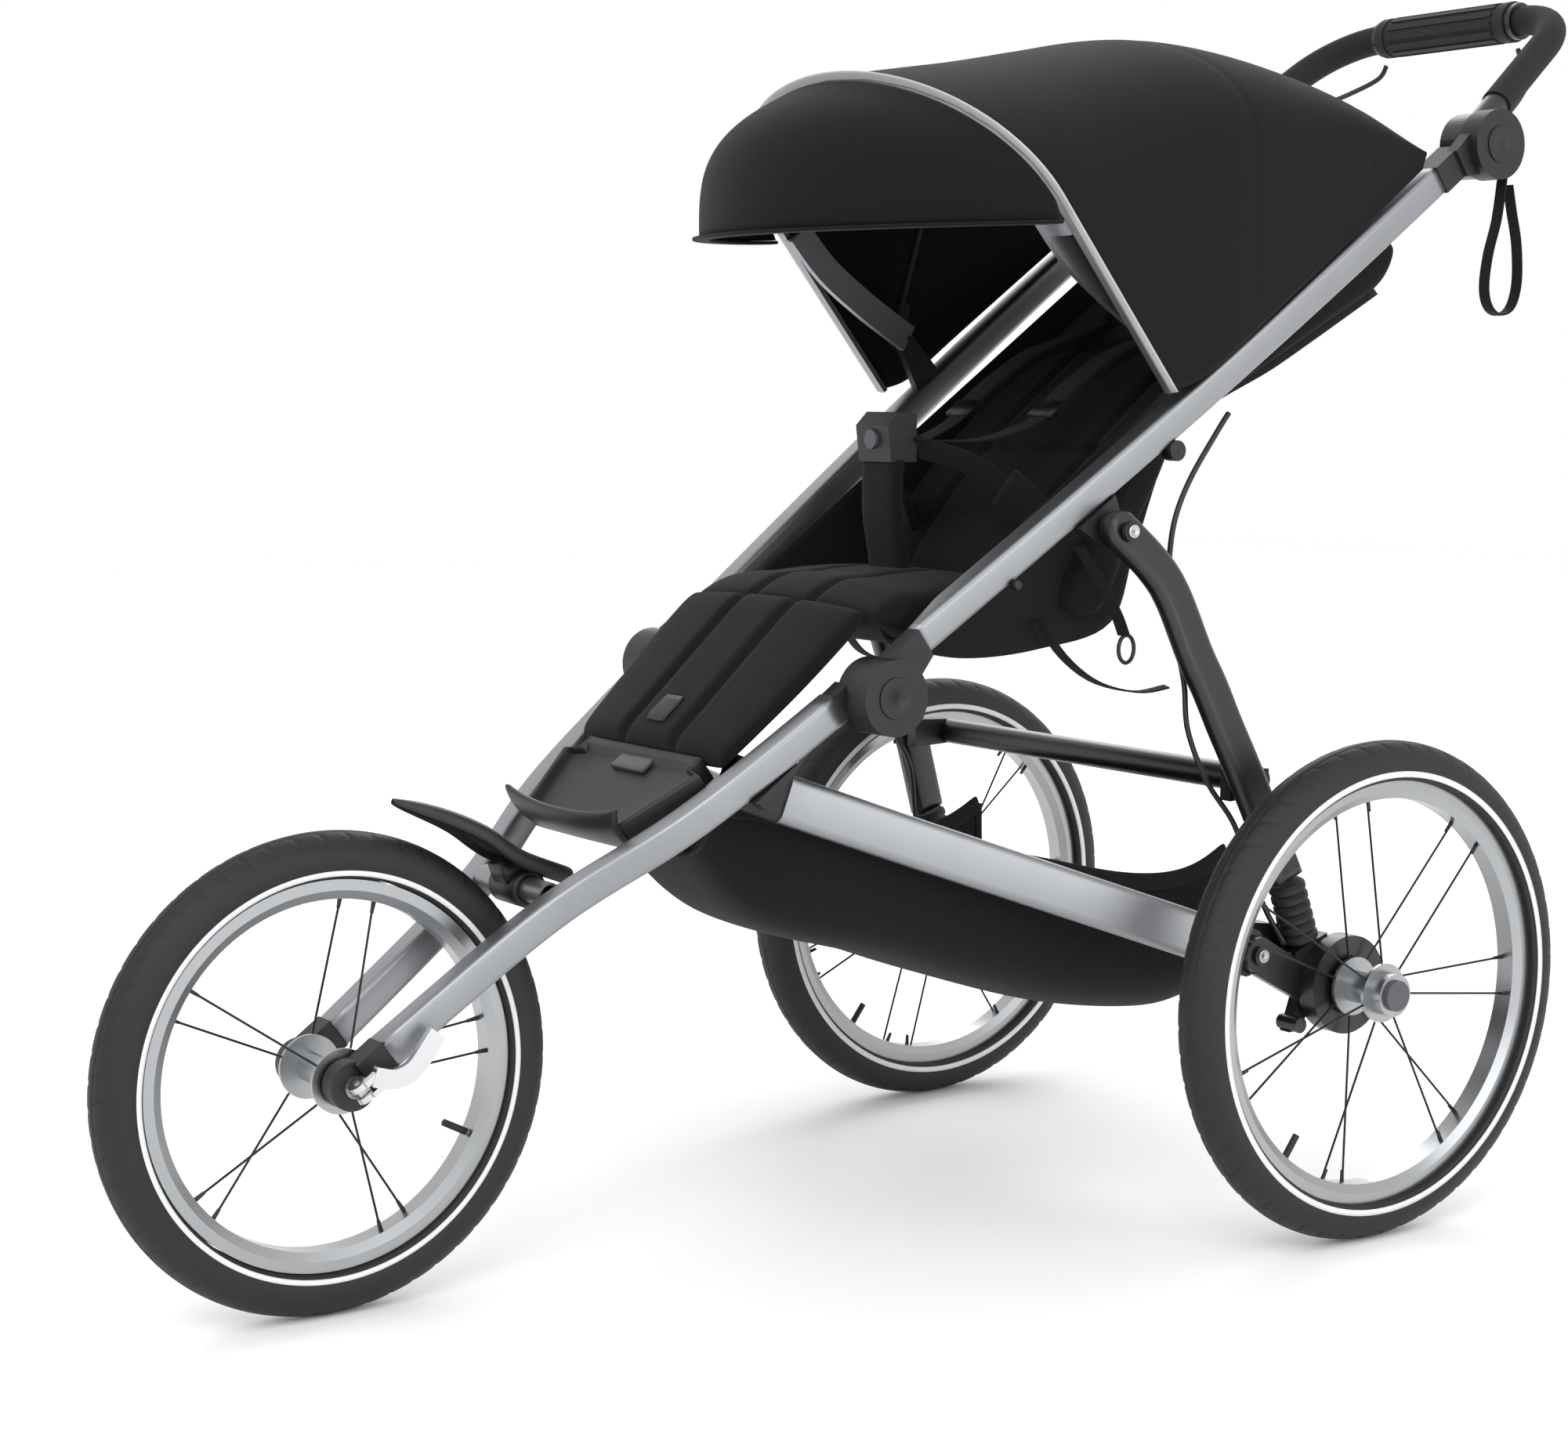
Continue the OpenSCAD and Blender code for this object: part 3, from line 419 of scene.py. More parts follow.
canopy_cloth = cloth("canopy_plain_weave", "#060607", thread=1.5, depth=0.25, roughness=0.88)
lining_cloth = cloth("lining_taffeta", "#060607", thread=1.2, depth=0.15, roughness=0.75)
seat_cloth = cloth("seat_ribbed_knit", "#08080a", thread=1.6, ribs=3.2, depth=0.4, roughness=0.92)
webbing = cloth("twill_webbing", "#0d0d0e", thread=1.8, ribs=2.4, depth=0.5, roughness=0.8)
pad_cloth = cloth("pad_spacer_mesh", "#111113", thread=2.2, depth=0.6, roughness=0.9)
basket_cloth = cloth("basket_ripstop", "#060607", thread=1.6, ribs=6.0, depth=0.3, roughness=0.82)
piping_cloth = cloth("silver_piping", "#b4b5b7", thread=1.3, depth=0.2, roughness=0.5, variation=0.05)
NYLON = {"material": nylon, "slot": "black_plastic"}
WEB = {"material": webbing, "slot": "webbing"}
PAD = {"material": pad_cloth, "slot": "webbing"}
CANOPY = {"material": canopy_cloth, "slot": "fabric"}
print(len(bpy.data.materials), "finishes in all")

# %% [markdown]
# ### Hubs and rims: two finishes on one piece
# A hub and its spokes are one CAD piece, but the hub is silver and the spokes are black; a rim is silver
# and its valve is black. The distance from the axle decides which of two finishes a point gets.


# %% Finish by distance from the axle
def ringed_finish(name, axle, edge, inner, outer):
    """Mixes two (colour, roughness, metallic) looks by the step of sqrt((y-ay)^2 + (z-az)^2) at edge mm."""
    made, tree, shader = begin(name)
    where = add(tree, "ShaderNodeTexCoord").outputs["Object"]
    _, axle_y, axle_z = place(axle).tolist()
    moved = add(tree, "ShaderNodeMapping", {"Vector": where, "Location": (0, -axle_y, -axle_z),
                                            "Scale": (0, 1, 1)}).outputs[0]
    reach = add(tree, "ShaderNodeVectorMath", {0: moved}, operation="LENGTH").outputs["Value"]
    beyond = maths(tree, "GREATER_THAN", reach, edge*MM)
    fine = noise(tree, where, 900.0)
    tint = add(tree, "ShaderNodeMix", {0: beyond, 6: hex_colour(inner[0]), 7: hex_colour(outer[0])},
               data_type="RGBA").outputs[2]
    gloss = between(tree, beyond, inner[1], outer[1])
    rough = maths(tree, "ADD", gloss, between(tree, fine, -0.06, 0.06))
    metal = between(tree, beyond, inner[2], outer[2])
    for output, key in ((tint, "Base Color"), (rough, "Roughness"), (metal, "Metallic")):
        tree.links.new(output, shader.inputs[key])
    return made


RIM_DEPTH = 17.2
ALLOY, WIRE, VALVE = ("#a6a8aa", 0.3, 1.0), ("#0f0f10", 0.32, 0.4), ("#101011", 0.6, 0.0)
front_hub_finish = ringed_finish("front_hub_alloy", FRONT_AXLE, 26.8, ALLOY, WIRE)
rear_hub_finish = ringed_finish("rear_hub_alloy", REAR_AXLE, 26.3, ALLOY, WIRE)
front_rim_finish = ringed_finish("front_rim_alloy", FRONT_AXLE, FRONT_RIM_R - RIM_DEPTH, VALVE, ALLOY)
rear_rim_finish = ringed_finish("rear_rim_alloy", REAR_AXLE, REAR_RIM_R - RIM_DEPTH, VALVE, ALLOY)
print("axles", FRONT_AXLE, REAR_AXLE)

# %% [markdown]
# ## CAD pieces that keep their shape
# The CAD already holds these hubs, rims, brackets and bars, so they only need their finishes. Assigning to
# the material slots leaves their meshes untouched, which the frame check insists on.

# %% Finishes of the CAD pieces
FINISHES = {
    aluminium: ["front_cross_tube", "canopy_bow"],
    front_rim_finish: ["front_rim"],
    rear_rim_finish: ["rear_rim"],
    front_hub_finish: ["front_hub"],
    rear_hub_finish: ["rear_hub"],
    nylon: ["dropout", "fold_base", "fold_cover", "upper_hub", "side_saddles",
            "rail_brackets", "canopy_mid_bow", "buckle", "brake_pedal"],
    soft_grey: ["hub_button", "tilt_button", "buckle_button"],
    powder: ["leg_crossbar", "rear_axle_tube", "suspension_arm", "handlebar"],
    steel: ["front_axle"],
    polished: ["qr_lever"],
    foam: ["handlebar_foam"],
    grip_rubber: ["brake_grip"],
    bellows_rubber: ["bellows"],
}
finished = 0
for finish, names in FINISHES.items():
    for name in names:
        for node in ([name] if name in nodes else [f"{name}_{side}" for side in SIDES]):
            nodes[node].data.materials.clear()
            nodes[node].data.materials.append(finish)
            finished += 1
print(finished, "CAD pieces finished")

# %% [markdown]
# ## Frame tubes
# The tubes are extrusions with rounded corners, bent in plan. Their sections follow the same widths as in
# the CAD: a narrow stretch beside the wheel, an S, and a wide stretch beside the seat. Smooth corners
# give the long bright lines that a square section cannot.


# %% Tubes on the frame line
def rounded(width, height, radius, steps=4):
    """Rounded rectangle: corner centres at (w/2 - r, h/2 - r) plus r (cos, sin); width may vary by ring."""
    corners = []
    for quarter, (way_a, way_b) in enumerate(((1, 1), (-1, 1), (-1, -1), (1, -1))):
        angle = np.linspace(0, math.pi/2, steps + 1) + quarter*math.pi/2
        a = way_a*(np.asarray(width, float)[..., None]/2 - radius) + radius*np.cos(angle)
        b = way_b*(height/2 - radius) + radius*np.sin(angle)
        corners.append(np.stack(np.broadcast_arrays(a, b), -1))
    return np.concatenate(corners, -2)


def front_x(a):
    """Outer face of a front tube: narrow + (wide - narrow)/(1 + exp(-(a + 224)/32)), both straight lines."""
    narrow, wide = 60.2 + 0.083*(a + 428.7), 161.6 + 0.137*a
    return narrow + (wide - narrow)/(1 + np.exp(-(a + 224)/32))


def rail_x(a):
    """Outer face of a rail: 161.6 + 59.7 (1 - (1 - a/763)^1.75), which flattens at the handlebar."""
    return 161.6 + 59.7*(1 - np.maximum(0, 1 - a/763)**1.75)


def tube(name, x_outer, x_inner, lift, seat, body, finish=aluminium, height=TUBE_H, radius=5.0):
    """Rounded sections from x_inner to x_outer; seat gives Y and Z of each section from its heights."""
    for side, sign in SIGNS.items():
        section = rounded(x_outer - x_inner, height, radius)
        x = section[..., 0] + ((x_outer + x_inner)/2)[:, None]
        grid = np.concatenate([x[..., None]*sign, seat(section[..., 1] + lift)], -1)
        piece = surface(f"{name}_smooth_{side}", place(grid), around=True, capped=True, material=finish,
                        slot="aluminium" if finish is aluminium else "black_plastic", body=body)
        if f"{name}_{side}" in nodes:
            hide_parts(f"{name}_{side}")


front_a = np.concatenate([np.linspace(-455, -330, 8), np.linspace(-325, -90, 60), np.linspace(-80, -7, 6)])
tube("front_tube", front_x(front_a), front_x(front_a) - TUBE_W, -TUBE_H/2,
     lambda off: on_line(front_a[:, None], off), "front_frame")
rail_a = np.linspace(83, 763, 90)
rail_inner = np.maximum(rail_x(rail_a) - TUBE_W, front_x(52 - rail_a + 9) + 0.4)
tube("rail", rail_x(rail_a), rail_inner, -TUBE_H/2, lambda off: on_line(rail_a[:, None], off), "upper_frame")
print("front tubes and rails")

# %% Side tubes and their front sleeves
SADDLE, REAR_PIVOT = on_line(-88, -38.7), np.array([259.6, 254.1])
SIDE_ANGLE = math.atan2(*(REAR_PIVOT - SADDLE)[::-1])


def on_side_tube(reach, height):
    """Y and Z in mm of a point reach along a side tube from its front pin and height square to it."""
    return np.stack([SADDLE[0] + reach*math.cos(SIDE_ANGLE) - height*math.sin(SIDE_ANGLE),
                     SADDLE[1] + reach*math.sin(SIDE_ANGLE) + height*math.cos(SIDE_ANGLE)], -1)


def side_x(reach):
    """Outer face: straight by the pin, then two slopes, softened by averaging over 30 mm."""
    plan = [np.interp(reach + d, [-26, 30, 150, 432], [116.5, 116.5, 148.8, 256]) for d in (-15, 0, 15)]
    return np.where(reach < 400, sum(plan)/3, plan[1])


SIDE_W, SIDE_H, SLEEVE_WALL = 24, 42.0, 0.4
side_a = np.linspace(-26, 432, 80)
tube("side_tube", side_x(side_a), side_x(side_a) - SIDE_W, 0, lambda h: on_side_tube(side_a[:, None], h),
     "rear_frame", height=SIDE_H, radius=8.0)
sleeve_a = np.linspace(-27, 28, 12)
tube("side_sleeve", side_x(sleeve_a) + SLEEVE_WALL, side_x(sleeve_a) - SIDE_W - SLEEVE_WALL, 0,
     lambda h: on_side_tube(sleeve_a[:, None], h), "rear_frame", nylon, SIDE_H + 2*SLEEVE_WALL, 8.2)
print("side tubes")

# %% Rear legs
LEG_TOP, LEG_X, LEG_FOOT_X, LEG_FOOT_Z = on_line(283, -47.9), 210, 260, 318
LEG_LINE = [LEG_TOP, [177, 594], [196, 566], [215, 516], [229, 486], [243, 451], [264, 402], [298.5, 313]]
lean = -math.atan2(LEG_FOOT_X - LEG_X, LEG_TOP[1] - LEG_FOOT_Z)
tilt = np.array([[math.cos(lean), 0, math.sin(lean)], [0, 1, 0], [-math.sin(lean), 0, math.cos(lean)]])
leg_path = smooth(LEG_LINE, 60)
start = (leg_path[0] - leg_path[1])/np.linalg.norm(leg_path[0] - leg_path[1])
back_off = np.array([17.4, 16.6, 14, 9.6, 5])
leg_path = np.concatenate([leg_path[0] + start*back_off[:, None], leg_path])
slim = np.sqrt(1 - (np.concatenate([back_off, np.zeros(60)])/17.5)**2)
leg_path = np.insert(leg_path, 0, LEG_X, axis=1)
hinge = np.array([LEG_X, 0, LEG_TOP[1]])
leg_path = (leg_path - hinge) @ tilt.T + hinge
leg_section = rounded(19.0, 35.0, 7.5)[None]*np.stack([np.ones(65), slim], -1)[:, None]
for side, sign in SIGNS.items():
    leg = sweep(f"leg_smooth_{side}", leg_path*[sign, 1, 1], leg_section, side=tilt[:, 0]*[sign, 1, 1],
                material=powder, slot="black_paint", body="legs")
    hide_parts(f"leg_{side}")
print("rear legs")

# %% [markdown]
# ## Tyres
# An air tyre is a tube of rubber with a shallow tread: curved sipes on the shoulders and a line either
# side of a smooth crown. The tread is cut by lowering the points where a groove runs, so it is real
# relief in the mesh. The white ring is a separate band on each side wall.


# %% Tyres
def tyre(name, centre, radius, rim_radius, body, node):
    """Section angle t, wheel angle a: radius = R - r + p cos t and x = p sin t, where p is r less the
    curved sipes exp(-(sin(27 a + bend)/0.2)^2) on the shoulders and less one line either side."""
    t = np.radians(np.linspace(-132, 132, 67))
    a = np.linspace(0, 2*math.pi, 594, endpoint=False)[:, None]
    lean = abs(np.degrees(t))
    shoulder = 1/(1 + np.exp((lean - 52)/2.5)) - 1/(1 + np.exp((lean - 15)/1.5))
    sipes = np.exp(-(np.sin(27*a + 1.5*np.sin(1.3*t))/0.2)**2)
    lines = 0.9*np.exp(-((lean - 13)/2.2)**2)
    section = TYRE_R - 1.3*shoulder*sipes - lines
    ring = radius - TYRE_R + section*np.cos(t)
    x = section*np.sin(t)
    ring = np.maximum(ring, rim_radius + 0.1)
    grid = np.stack([np.broadcast_to(centre[0] + x, ring.shape), centre[1] + ring*np.cos(a),
                     centre[2] + ring*np.sin(a)], -1)
    piece = surface(name, place(np.concatenate([grid, grid[:1]])), around=True, material=tyre_rubber,
                    slot="tyre", body=body)
    outwards(piece)
    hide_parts(node)


def side_ring(name, centre, ring_radius, x, body):
    """A thin band of the given radius standing 0.7 mm proud of a side wall."""
    low, high = ring_radius - 2.6, ring_radius + 2.6
    profile = [[low, x - 0.5], [high, x - 0.5], [high, x + 0.5], [low, x + 0.5]]
    turned(name, profile, centre, 128, material=reflective, slot="rubber", body=body)


WHEELS = [("front", FRONT_AXLE, FRONT_R, FRONT_RIM_R, "front_wheel", "front_tyre", 165.5)]
WHEELS += [(f"rear_{side}", REAR_AXLE*[sign, 1, 1], REAR_R, REAR_RIM_R, f"rear_wheel_{side}",
            f"rear_tyre_{side}", 193.4) for side, sign in SIGNS.items()]
for label, centre, radius, rim_radius, body, node, ring_radius in WHEELS:
    tyre(f"tyre_{label}", centre, radius, rim_radius, body, node)
    reach = math.sqrt(TYRE_R**2 - (radius - TYRE_R - ring_radius)**2)
    for way in (-1, 1):
        edge = "outer" if way > 0 else "inner"
        side_ring(f"band_{label}_{edge}", centre, ring_radius, way*(reach + 0.2), body)
print("three tyres, six bands")

# %% [markdown]
# ## The canopy
# The canopy is one sheet stretched over arches: straight sides and an elliptic crown, with feet along the
# rails. The arches change smoothly from the front bow to the seat back. Seams are shallow valleys where
# two panels meet, and fabric between two bows sinks a little under its own tension.

# %% Canopy surface
ARCH_FOOT = [[402, 14], [424, 6], [452, 3], [500, 3], [580, 3], [670, 3], [757, 3]]
ARCH_CROWN = [[-12, 1012], [92, 1031], [190, 1049], [287, 1062], [375, 1052], [440, 1024], [505, 968]]
ARCH_HALF = [210, 211, 213, 214, 214, 213, 211]
STRAIGHT = 0.6


def arch(s):
    """Half-width share and height share of an arch: straight to the shoulder, then a quarter ellipse."""
    side = abs(s) > 0.5
    angle = math.pi/2 - math.pi*abs(s)
    x = np.where(side, np.sign(s), np.sign(s)*np.cos(angle))
    height = np.where(side, STRAIGHT*2*(1 - abs(s)), STRAIGHT + (1 - STRAIGHT)*np.sin(angle))
    return x, height


def canopy_grid(rows, cols):
    """Row u is the arch between foot(u) and crown(u), both smooth curves along the canopy, in mm."""
    u = np.linspace(0, 1, rows)
    fine = 601
    pick = np.round(u*(fine - 1)).astype(int)
    feet = on_line(*np.array(ARCH_FOOT).T)
    foot = smooth(feet, fine)[pick][:, None]
    crown = smooth(ARCH_CROWN, fine)[pick][:, None]
    half = smooth(np.array(ARCH_HALF)[:, None], fine)[pick]
    x, height = arch(np.linspace(-1, 1, cols))
    yz = foot + (crown - foot)*np.broadcast_to(height, (rows, cols))[..., None]
    return np.concatenate([(x*half)[..., None], yz], -1), u, height


def seam(values, places, width, depth):
    """Sum of narrow valleys depth * exp(-((v - place)/width)^2)."""
    return sum(depth*np.exp(-((values - place_at)/width)**2) for place_at in places)


grid, u, height = canopy_grid(121, 121)
sink = 3.0*np.sin(np.pi*np.clip(u/0.5, 0, 1))**2 + 2.5*np.sin(np.pi*np.clip((u - 0.5)/0.5, 0, 1))**2
sink = sink + seam(u, [0.5, 0.83], 0.006, 1.2)
shrink = 1 - (sink[:, None]/300)*(height > 0.05)*np.clip(height*3, 0, 1)
middle_line = (grid[:, 0]*[0, 1, 1])[:, None]
sunk = middle_line + (grid - middle_line)*np.stack([np.sqrt(shrink), shrink, shrink], -1)
canopy = surface("canopy", place(sunk), **CANOPY)
thicken(canopy, 0.0022)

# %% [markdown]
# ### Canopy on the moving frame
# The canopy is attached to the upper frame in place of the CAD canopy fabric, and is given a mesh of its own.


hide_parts("canopy_fabric")
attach(canopy, "upper_frame")
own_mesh(canopy)

# %% [markdown]
# ### Visor and piping
# The visor is a stiff curved brim sewn to the front bow, with a bound hem. It reaches from the bow's
# crown down to its own hem line and bulges forward between them. Grey piping covers the front bow seam.

# %% Visor
HEM = np.array([73.0, 884.0])
BOW_HALF = 210
BOW_FOOT, BOW_CROWN = on_line(398, 14), np.array([-16.0, 1010.0])


def visor_grid(rows, cols):
    """Between the brow arc on the bow and the hem arc, with a forward bulge 26 sin(a) sin(pi v)."""
    a = np.linspace(0, math.pi, cols)[None]
    v = np.linspace(0, 1, rows)[:, None]
    foot = BOW_FOOT - 5.0*np.array([math.cos(PITCH), math.sin(PITCH)])
    rise = BOW_CROWN - [5, 4] - foot
    height = STRAIGHT + (1 - STRAIGHT)*np.sin(a)
    brow = np.stack([BOW_HALF*np.cos(a), foot[0] + rise[0]*height, foot[1] + rise[1]*height], -1)
    hem = np.stack([BOW_HALF*np.cos(a), HEM[0] - 182*abs(np.sin(a))**1.25, HEM[1] - 7*np.sin(a)], -1)
    bulge = 26*np.sin(a)*np.sin(math.pi*v)
    grid = brow + (hem - brow)*v[..., None]
    return grid + np.stack([0*bulge, -bulge, 0.6*bulge], -1)


brim = visor_grid(41, 97)
visor = surface("visor_brim", place(brim), **CANOPY, body="visor")
thicken(visor, 0.0026)
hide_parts("visor")
hem_line = brim[-1] + [0, 0, -2]
sweep("visor_hem", hem_line[1:-1], flat(3.4, 15), side=(0, 0, 1), **CANOPY, body="visor")

# %% Piping over the front bow
steps = np.linspace(-1, 1, 97)
bow_x, bow_height = arch(steps)
bow_rise = BOW_CROWN - BOW_FOOT
bow_line = np.stack([(BOW_HALF + 0.6)*bow_x, BOW_FOOT[0] + bow_rise[0]*bow_height*1.003,
                     BOW_FOOT[1] + bow_rise[1]*bow_height*1.003], -1)
bow_side = np.array([0, 0.777, 0.63])
sweep("front_piping", bow_line, flat(2.4, 12.5, 16, 3), side=-bow_side, material=piping_cloth,
      slot="aluminium", body="canopy_bow")
print("piping", len(bow_line), "points")

# %% [markdown]
# ## Padded seat
# A sewn cushion is thin at its edges and full between its seams. Each pad here is a closed tube of
# sections: a rounded slab whose thickness falls away towards the ends and along each sewn channel.


# %% Pad helper
def pad(name, front, rear, half, channels, body, crown, ribs=(), count=160, rows=60):
    """Section: x = w sin(pi t/2), depth = (1 - |x/w|^6)^(1/6) of the way to each face; a channel at x or
    a rib at row share v presses the front face in by 7 or 6 mm; crown lifts the middle."""
    front, rear = smooth(front, rows), smooth(rear, rows)
    width = smooth(np.array(half, float)[:, None], rows)
    v = np.linspace(0, 1, rows)[:, None]
    t = np.linspace(-1, 1, count//2, endpoint=False)
    across = np.sin(np.concatenate([t, -t])*math.pi/2)[None]
    facing = np.repeat([1, -1], len(t))[None]
    x = width*across
    share = facing*(1 - abs(across)**6)**(1/6)
    end = np.clip(1 - abs(2*v - 1)**14, 0, 1)**0.5
    face = np.clip(share, 0, 1)
    press = seam(x, channels, 5.5, 7.0) + seam(v + 0*x, ribs, 0.012, 6.0)
    swell = crown*(1 - (x/width)**2)
    centre, span = (front + rear)/2, (front - rear)/2
    thick = np.linalg.norm(span, axis=-1)[:, None]
    depth = share*end*thick + face*(swell - press)*end
    direction = span/np.maximum(thick, 1e-6)
    yz = centre[:, None] + direction[:, None]*depth[..., None]
    grid = np.concatenate([x[..., None], yz], -1)
    return surface(name, place(grid), around=True, capped=True, material=seat_cloth, slot="fabric",
                   body=body)


print("pad helper ready")

# %% Seat back, seat base and leg panel
BACK_FRONT = [[116, 548], [142, 598], [195, 660], [245, 708], [300, 752], [352, 792], [412, 836],
              [473, 878], [508, 890]]
BACK_REAR = [[196, 546], [217, 605], [247, 662], [274, 712], [335, 744], [391, 772], [455, 804],
             [520, 838], [542, 872]]
seat_back = pad("seat_back_pad", BACK_FRONT, BACK_REAR, [149, 149], channels=(-75, 75), ribs=(0.32, 0.6),
                body="upper_frame", crown=6, rows=90, count=190)
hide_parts("seat_back")
BASE_TOP = [[-66, 560], [-34, 576], [0, 578], [40, 581], [80, 580], [112, 570]]
BASE_UNDER = [[-58, 546], [-38, 538], [0, 526], [40, 521], [80, 524], [114, 532]]
seat_base = pad("seat_base_pad", BASE_TOP, BASE_UNDER, [137, 137], channels=(-44, 44),
                body="upper_frame", crown=5)
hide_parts("seat_base")
PANEL_TOP = on_line([-103, -92, -60, -20, 20, 58, 74], [4, 11, 15, 20, 25, 29, 27])
PANEL_UNDER = on_line([-104, -96, -60, -20, 20, 56, 72], [-7, -5, -2, 1, 5, 9, 15])
leg_panel = pad("leg_panel_pad", PANEL_TOP, PANEL_UNDER, [110, 120, 127.5, 128.3], channels=(-40, 40),
                body="front_frame", crown=5)
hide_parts("leg_panel")
for piece, anchor, keep in ((seat_back, on_line(400, -50), 0.6), (seat_base, on_line(60, -20), 0.4)):
    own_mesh(piece)
tab_line = on_line([-84, -78, -62, -56], [17.5, 19.5, 20.5, 20.5])
sweep("crotch_adjuster", middle_plane(tab_line), rounded(27.0, 4.0, 1.5), **NYLON, body="front_frame")
adjuster_strap = on_line([-58, -40, -16, 10], [19, 20.5, 24, 26])
sweep("adjuster_strap", middle_plane(smooth(adjuster_strap, 14)), flat(22, 1.8), **WEB, body="front_frame")
print("three pads")

# %% [markdown]
# ### Side walls of the seat
# Fabric runs from each rail down to the seat and closes the sides. Each wall is a ruled sheet between the
# rail and the outline of the seat, pulled inwards a little between them.

# %% Seat sides
OUTLINE = [[-62, 548], [-30, 528], [30, 516], [110, 520], [192, 540], [222, 612], [272, 708],
           [391, 768], [515, 834]]
RAIL_ALONG = [72, 96, 150, 215, 290, 370, 460, 590, 700]
rows, cols = 61, 17
lower = smooth(OUTLINE, rows)[:, None]
upper = smooth(on_line(RAIL_ALONG, np.full(9, -12)), rows)[:, None]
v = np.linspace(0, 1, cols)[None, :, None]
wall_yz = lower + (upper - lower)*v
wall_x = np.broadcast_to(143.0 + 2.5*v[..., 0] - 5*np.sin(np.pi*v[..., 0])*np.ones((rows, 1)), (rows, cols))
walls = np.concatenate([wall_x[..., None], wall_yz], -1)
for side, sign in SIGNS.items():
    sheet_grid = place(walls*[sign, 1, 1])
    wall = surface(f"seat_side_{side}", sheet_grid, material=lining_cloth, slot="fabric", body="upper_frame")
    thicken(wall, 0.0016)
    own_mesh(wall)

# %% [markdown]
# ## Harness, crotch pad and wrist strap
# Webbing is a flat woven strap: a rounded thin section carried along the line it hangs in. The shoulder
# pads are softer and thicker, and the straps reach from the seat back over them to the buckle.

# %% Straps and pads
SHOULDER = [[62, 352, 806], [62, 318, 792], [61, 268, 776], [60, 222, 750], [60, 186, 724]]
LOWER_STRAP = [[60, 190, 727], [56, 164, 712], [44, 126, 700], [30, 92, 698], [20, 66, 700]]
HIP_STRAP = [[128, 150, 596], [112, 150, 618], [86, 134, 648], [54, 104, 678], [22, 66, 694]]
ADJUSTER = np.array([[60, 192, 731], [60, 184, 726], [60, 176, 720]])
HIP_SIDE = (0.3, -0.4, 1)
for side, sign in SIGNS.items():
    flip = np.array([sign, 1, 1])
    for label, path, section, way, look in (
            ("shoulder_pad", smooth(SHOULDER, 28), flat(34, 11, 24, 4), (1, 0, 0), PAD),
            ("shoulder_strap", smooth(LOWER_STRAP, 24), flat(24, 2.2), (1, 0, 0), WEB),
            ("hip_strap", smooth(HIP_STRAP, 24), flat(22, 2.4), HIP_SIDE, WEB),
            ("hip_pad", smooth(HIP_STRAP, 40)[4:24], flat(44, 10, 24, 4), HIP_SIDE, PAD),
            ("adjuster", ADJUSTER, flat(31, 8, 16, 6), (1, 0, 0), NYLON)):
        sweep(f"{label}_{side}", path*flip, section, side=way, **look, body="upper_frame")
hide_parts("harness")
CROTCH = [[0, 56, 560], [0, 54, 590], [0, 47, 630], [0, 46, 664], [0, 48, 682]]
crotch = sweep("crotch_pad_sleeve", smooth(CROTCH, 30)[4:], flat(50, 15, 28, 4), material=seat_cloth,
               slot="webbing", body="upper_frame")
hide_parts("crotch_pad")
sweep("crotch_strap", smooth(CROTCH, 20)[:8], flat(30, 2.4), **WEB, body="upper_frame")
LOOP = [[592, 940], [586, 902], [576, 870], [572, 840], [578, 822], [592, 815], [608, 822], [616, 845],
        [614, 880], [606, 910], [600, 934]]
loop = np.insert(smooth(LOOP, 60), 0, 222, axis=1)
strap = sweep("wrist_strap_loop", loop, flat(12, 2.2, 16), **WEB, body="wrist_strap")
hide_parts("wrist_strap")

# %% [markdown]
# ## Basket
# The basket is a sling of cloth between the side tubes, deeper at the back, with a bound rim. It is a
# curved floor that turns up into its sides and sags slightly.

# %% Basket
BASKET_LINE = [[-196, 352, 84], [-150, 303, 86], [-100, 276, 98], [-9, 250, 125], [80, 218, 152],
               [170, 190, 168], [260, 176, 178], [302, 180, 180]]
BASKET_RIM = [[-196, 398], [-100, 388], [0, 366], [100, 333], [200, 309], [302, 330]]
rows, cols = 81, 81
line = smooth(BASKET_LINE, rows)[:, None]
rim_z = smooth(BASKET_RIM, rows)[:, 1][:, None]
s = np.linspace(-1, 1, cols)[None]
rise = abs(s)**3
basket_z = line[..., 1] + (rim_z - line[..., 1])*rise
basket_z = basket_z - 2.0*(1 - s**2)*np.sin(np.linspace(0, np.pi, rows))[:, None]
basket_x = np.sign(s)*(line[..., 2])*(1 - (1 - abs(s))**2.2)
basket_grid = np.stack([basket_x, np.broadcast_to(line[..., 0], basket_x.shape), basket_z], -1)
basket = surface("basket_sling", place(basket_grid), material=basket_cloth, slot="fabric", body="rear_frame")
thicken(basket, 0.002)
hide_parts("basket")
hems = []
for edge, column in (("left", -1), ("right", 0)):
    hems.append(sweep(f"basket_rim_{edge}", basket_grid[:, column], flat(5, 16, 16, 4), **WEB,
                      body="rear_frame"))
for end, row in (("front", 0), ("rear", -1)):
    hems.append(sweep(f"basket_binding_{end}", basket_grid[row], flat(9, 4, 12, 4), side=(0, 1, 0),
                      **WEB, body="rear_frame"))
for piece in [basket, *hems]:
    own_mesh(piece)

# %% [markdown]
# ## Brake cables
# A brake cable is a sheathed wire 5 mm across, held at both ends: it leaves the rail, drops along the leg
# and ends in the adjuster. The same route as in the CAD is followed with a rounder section.

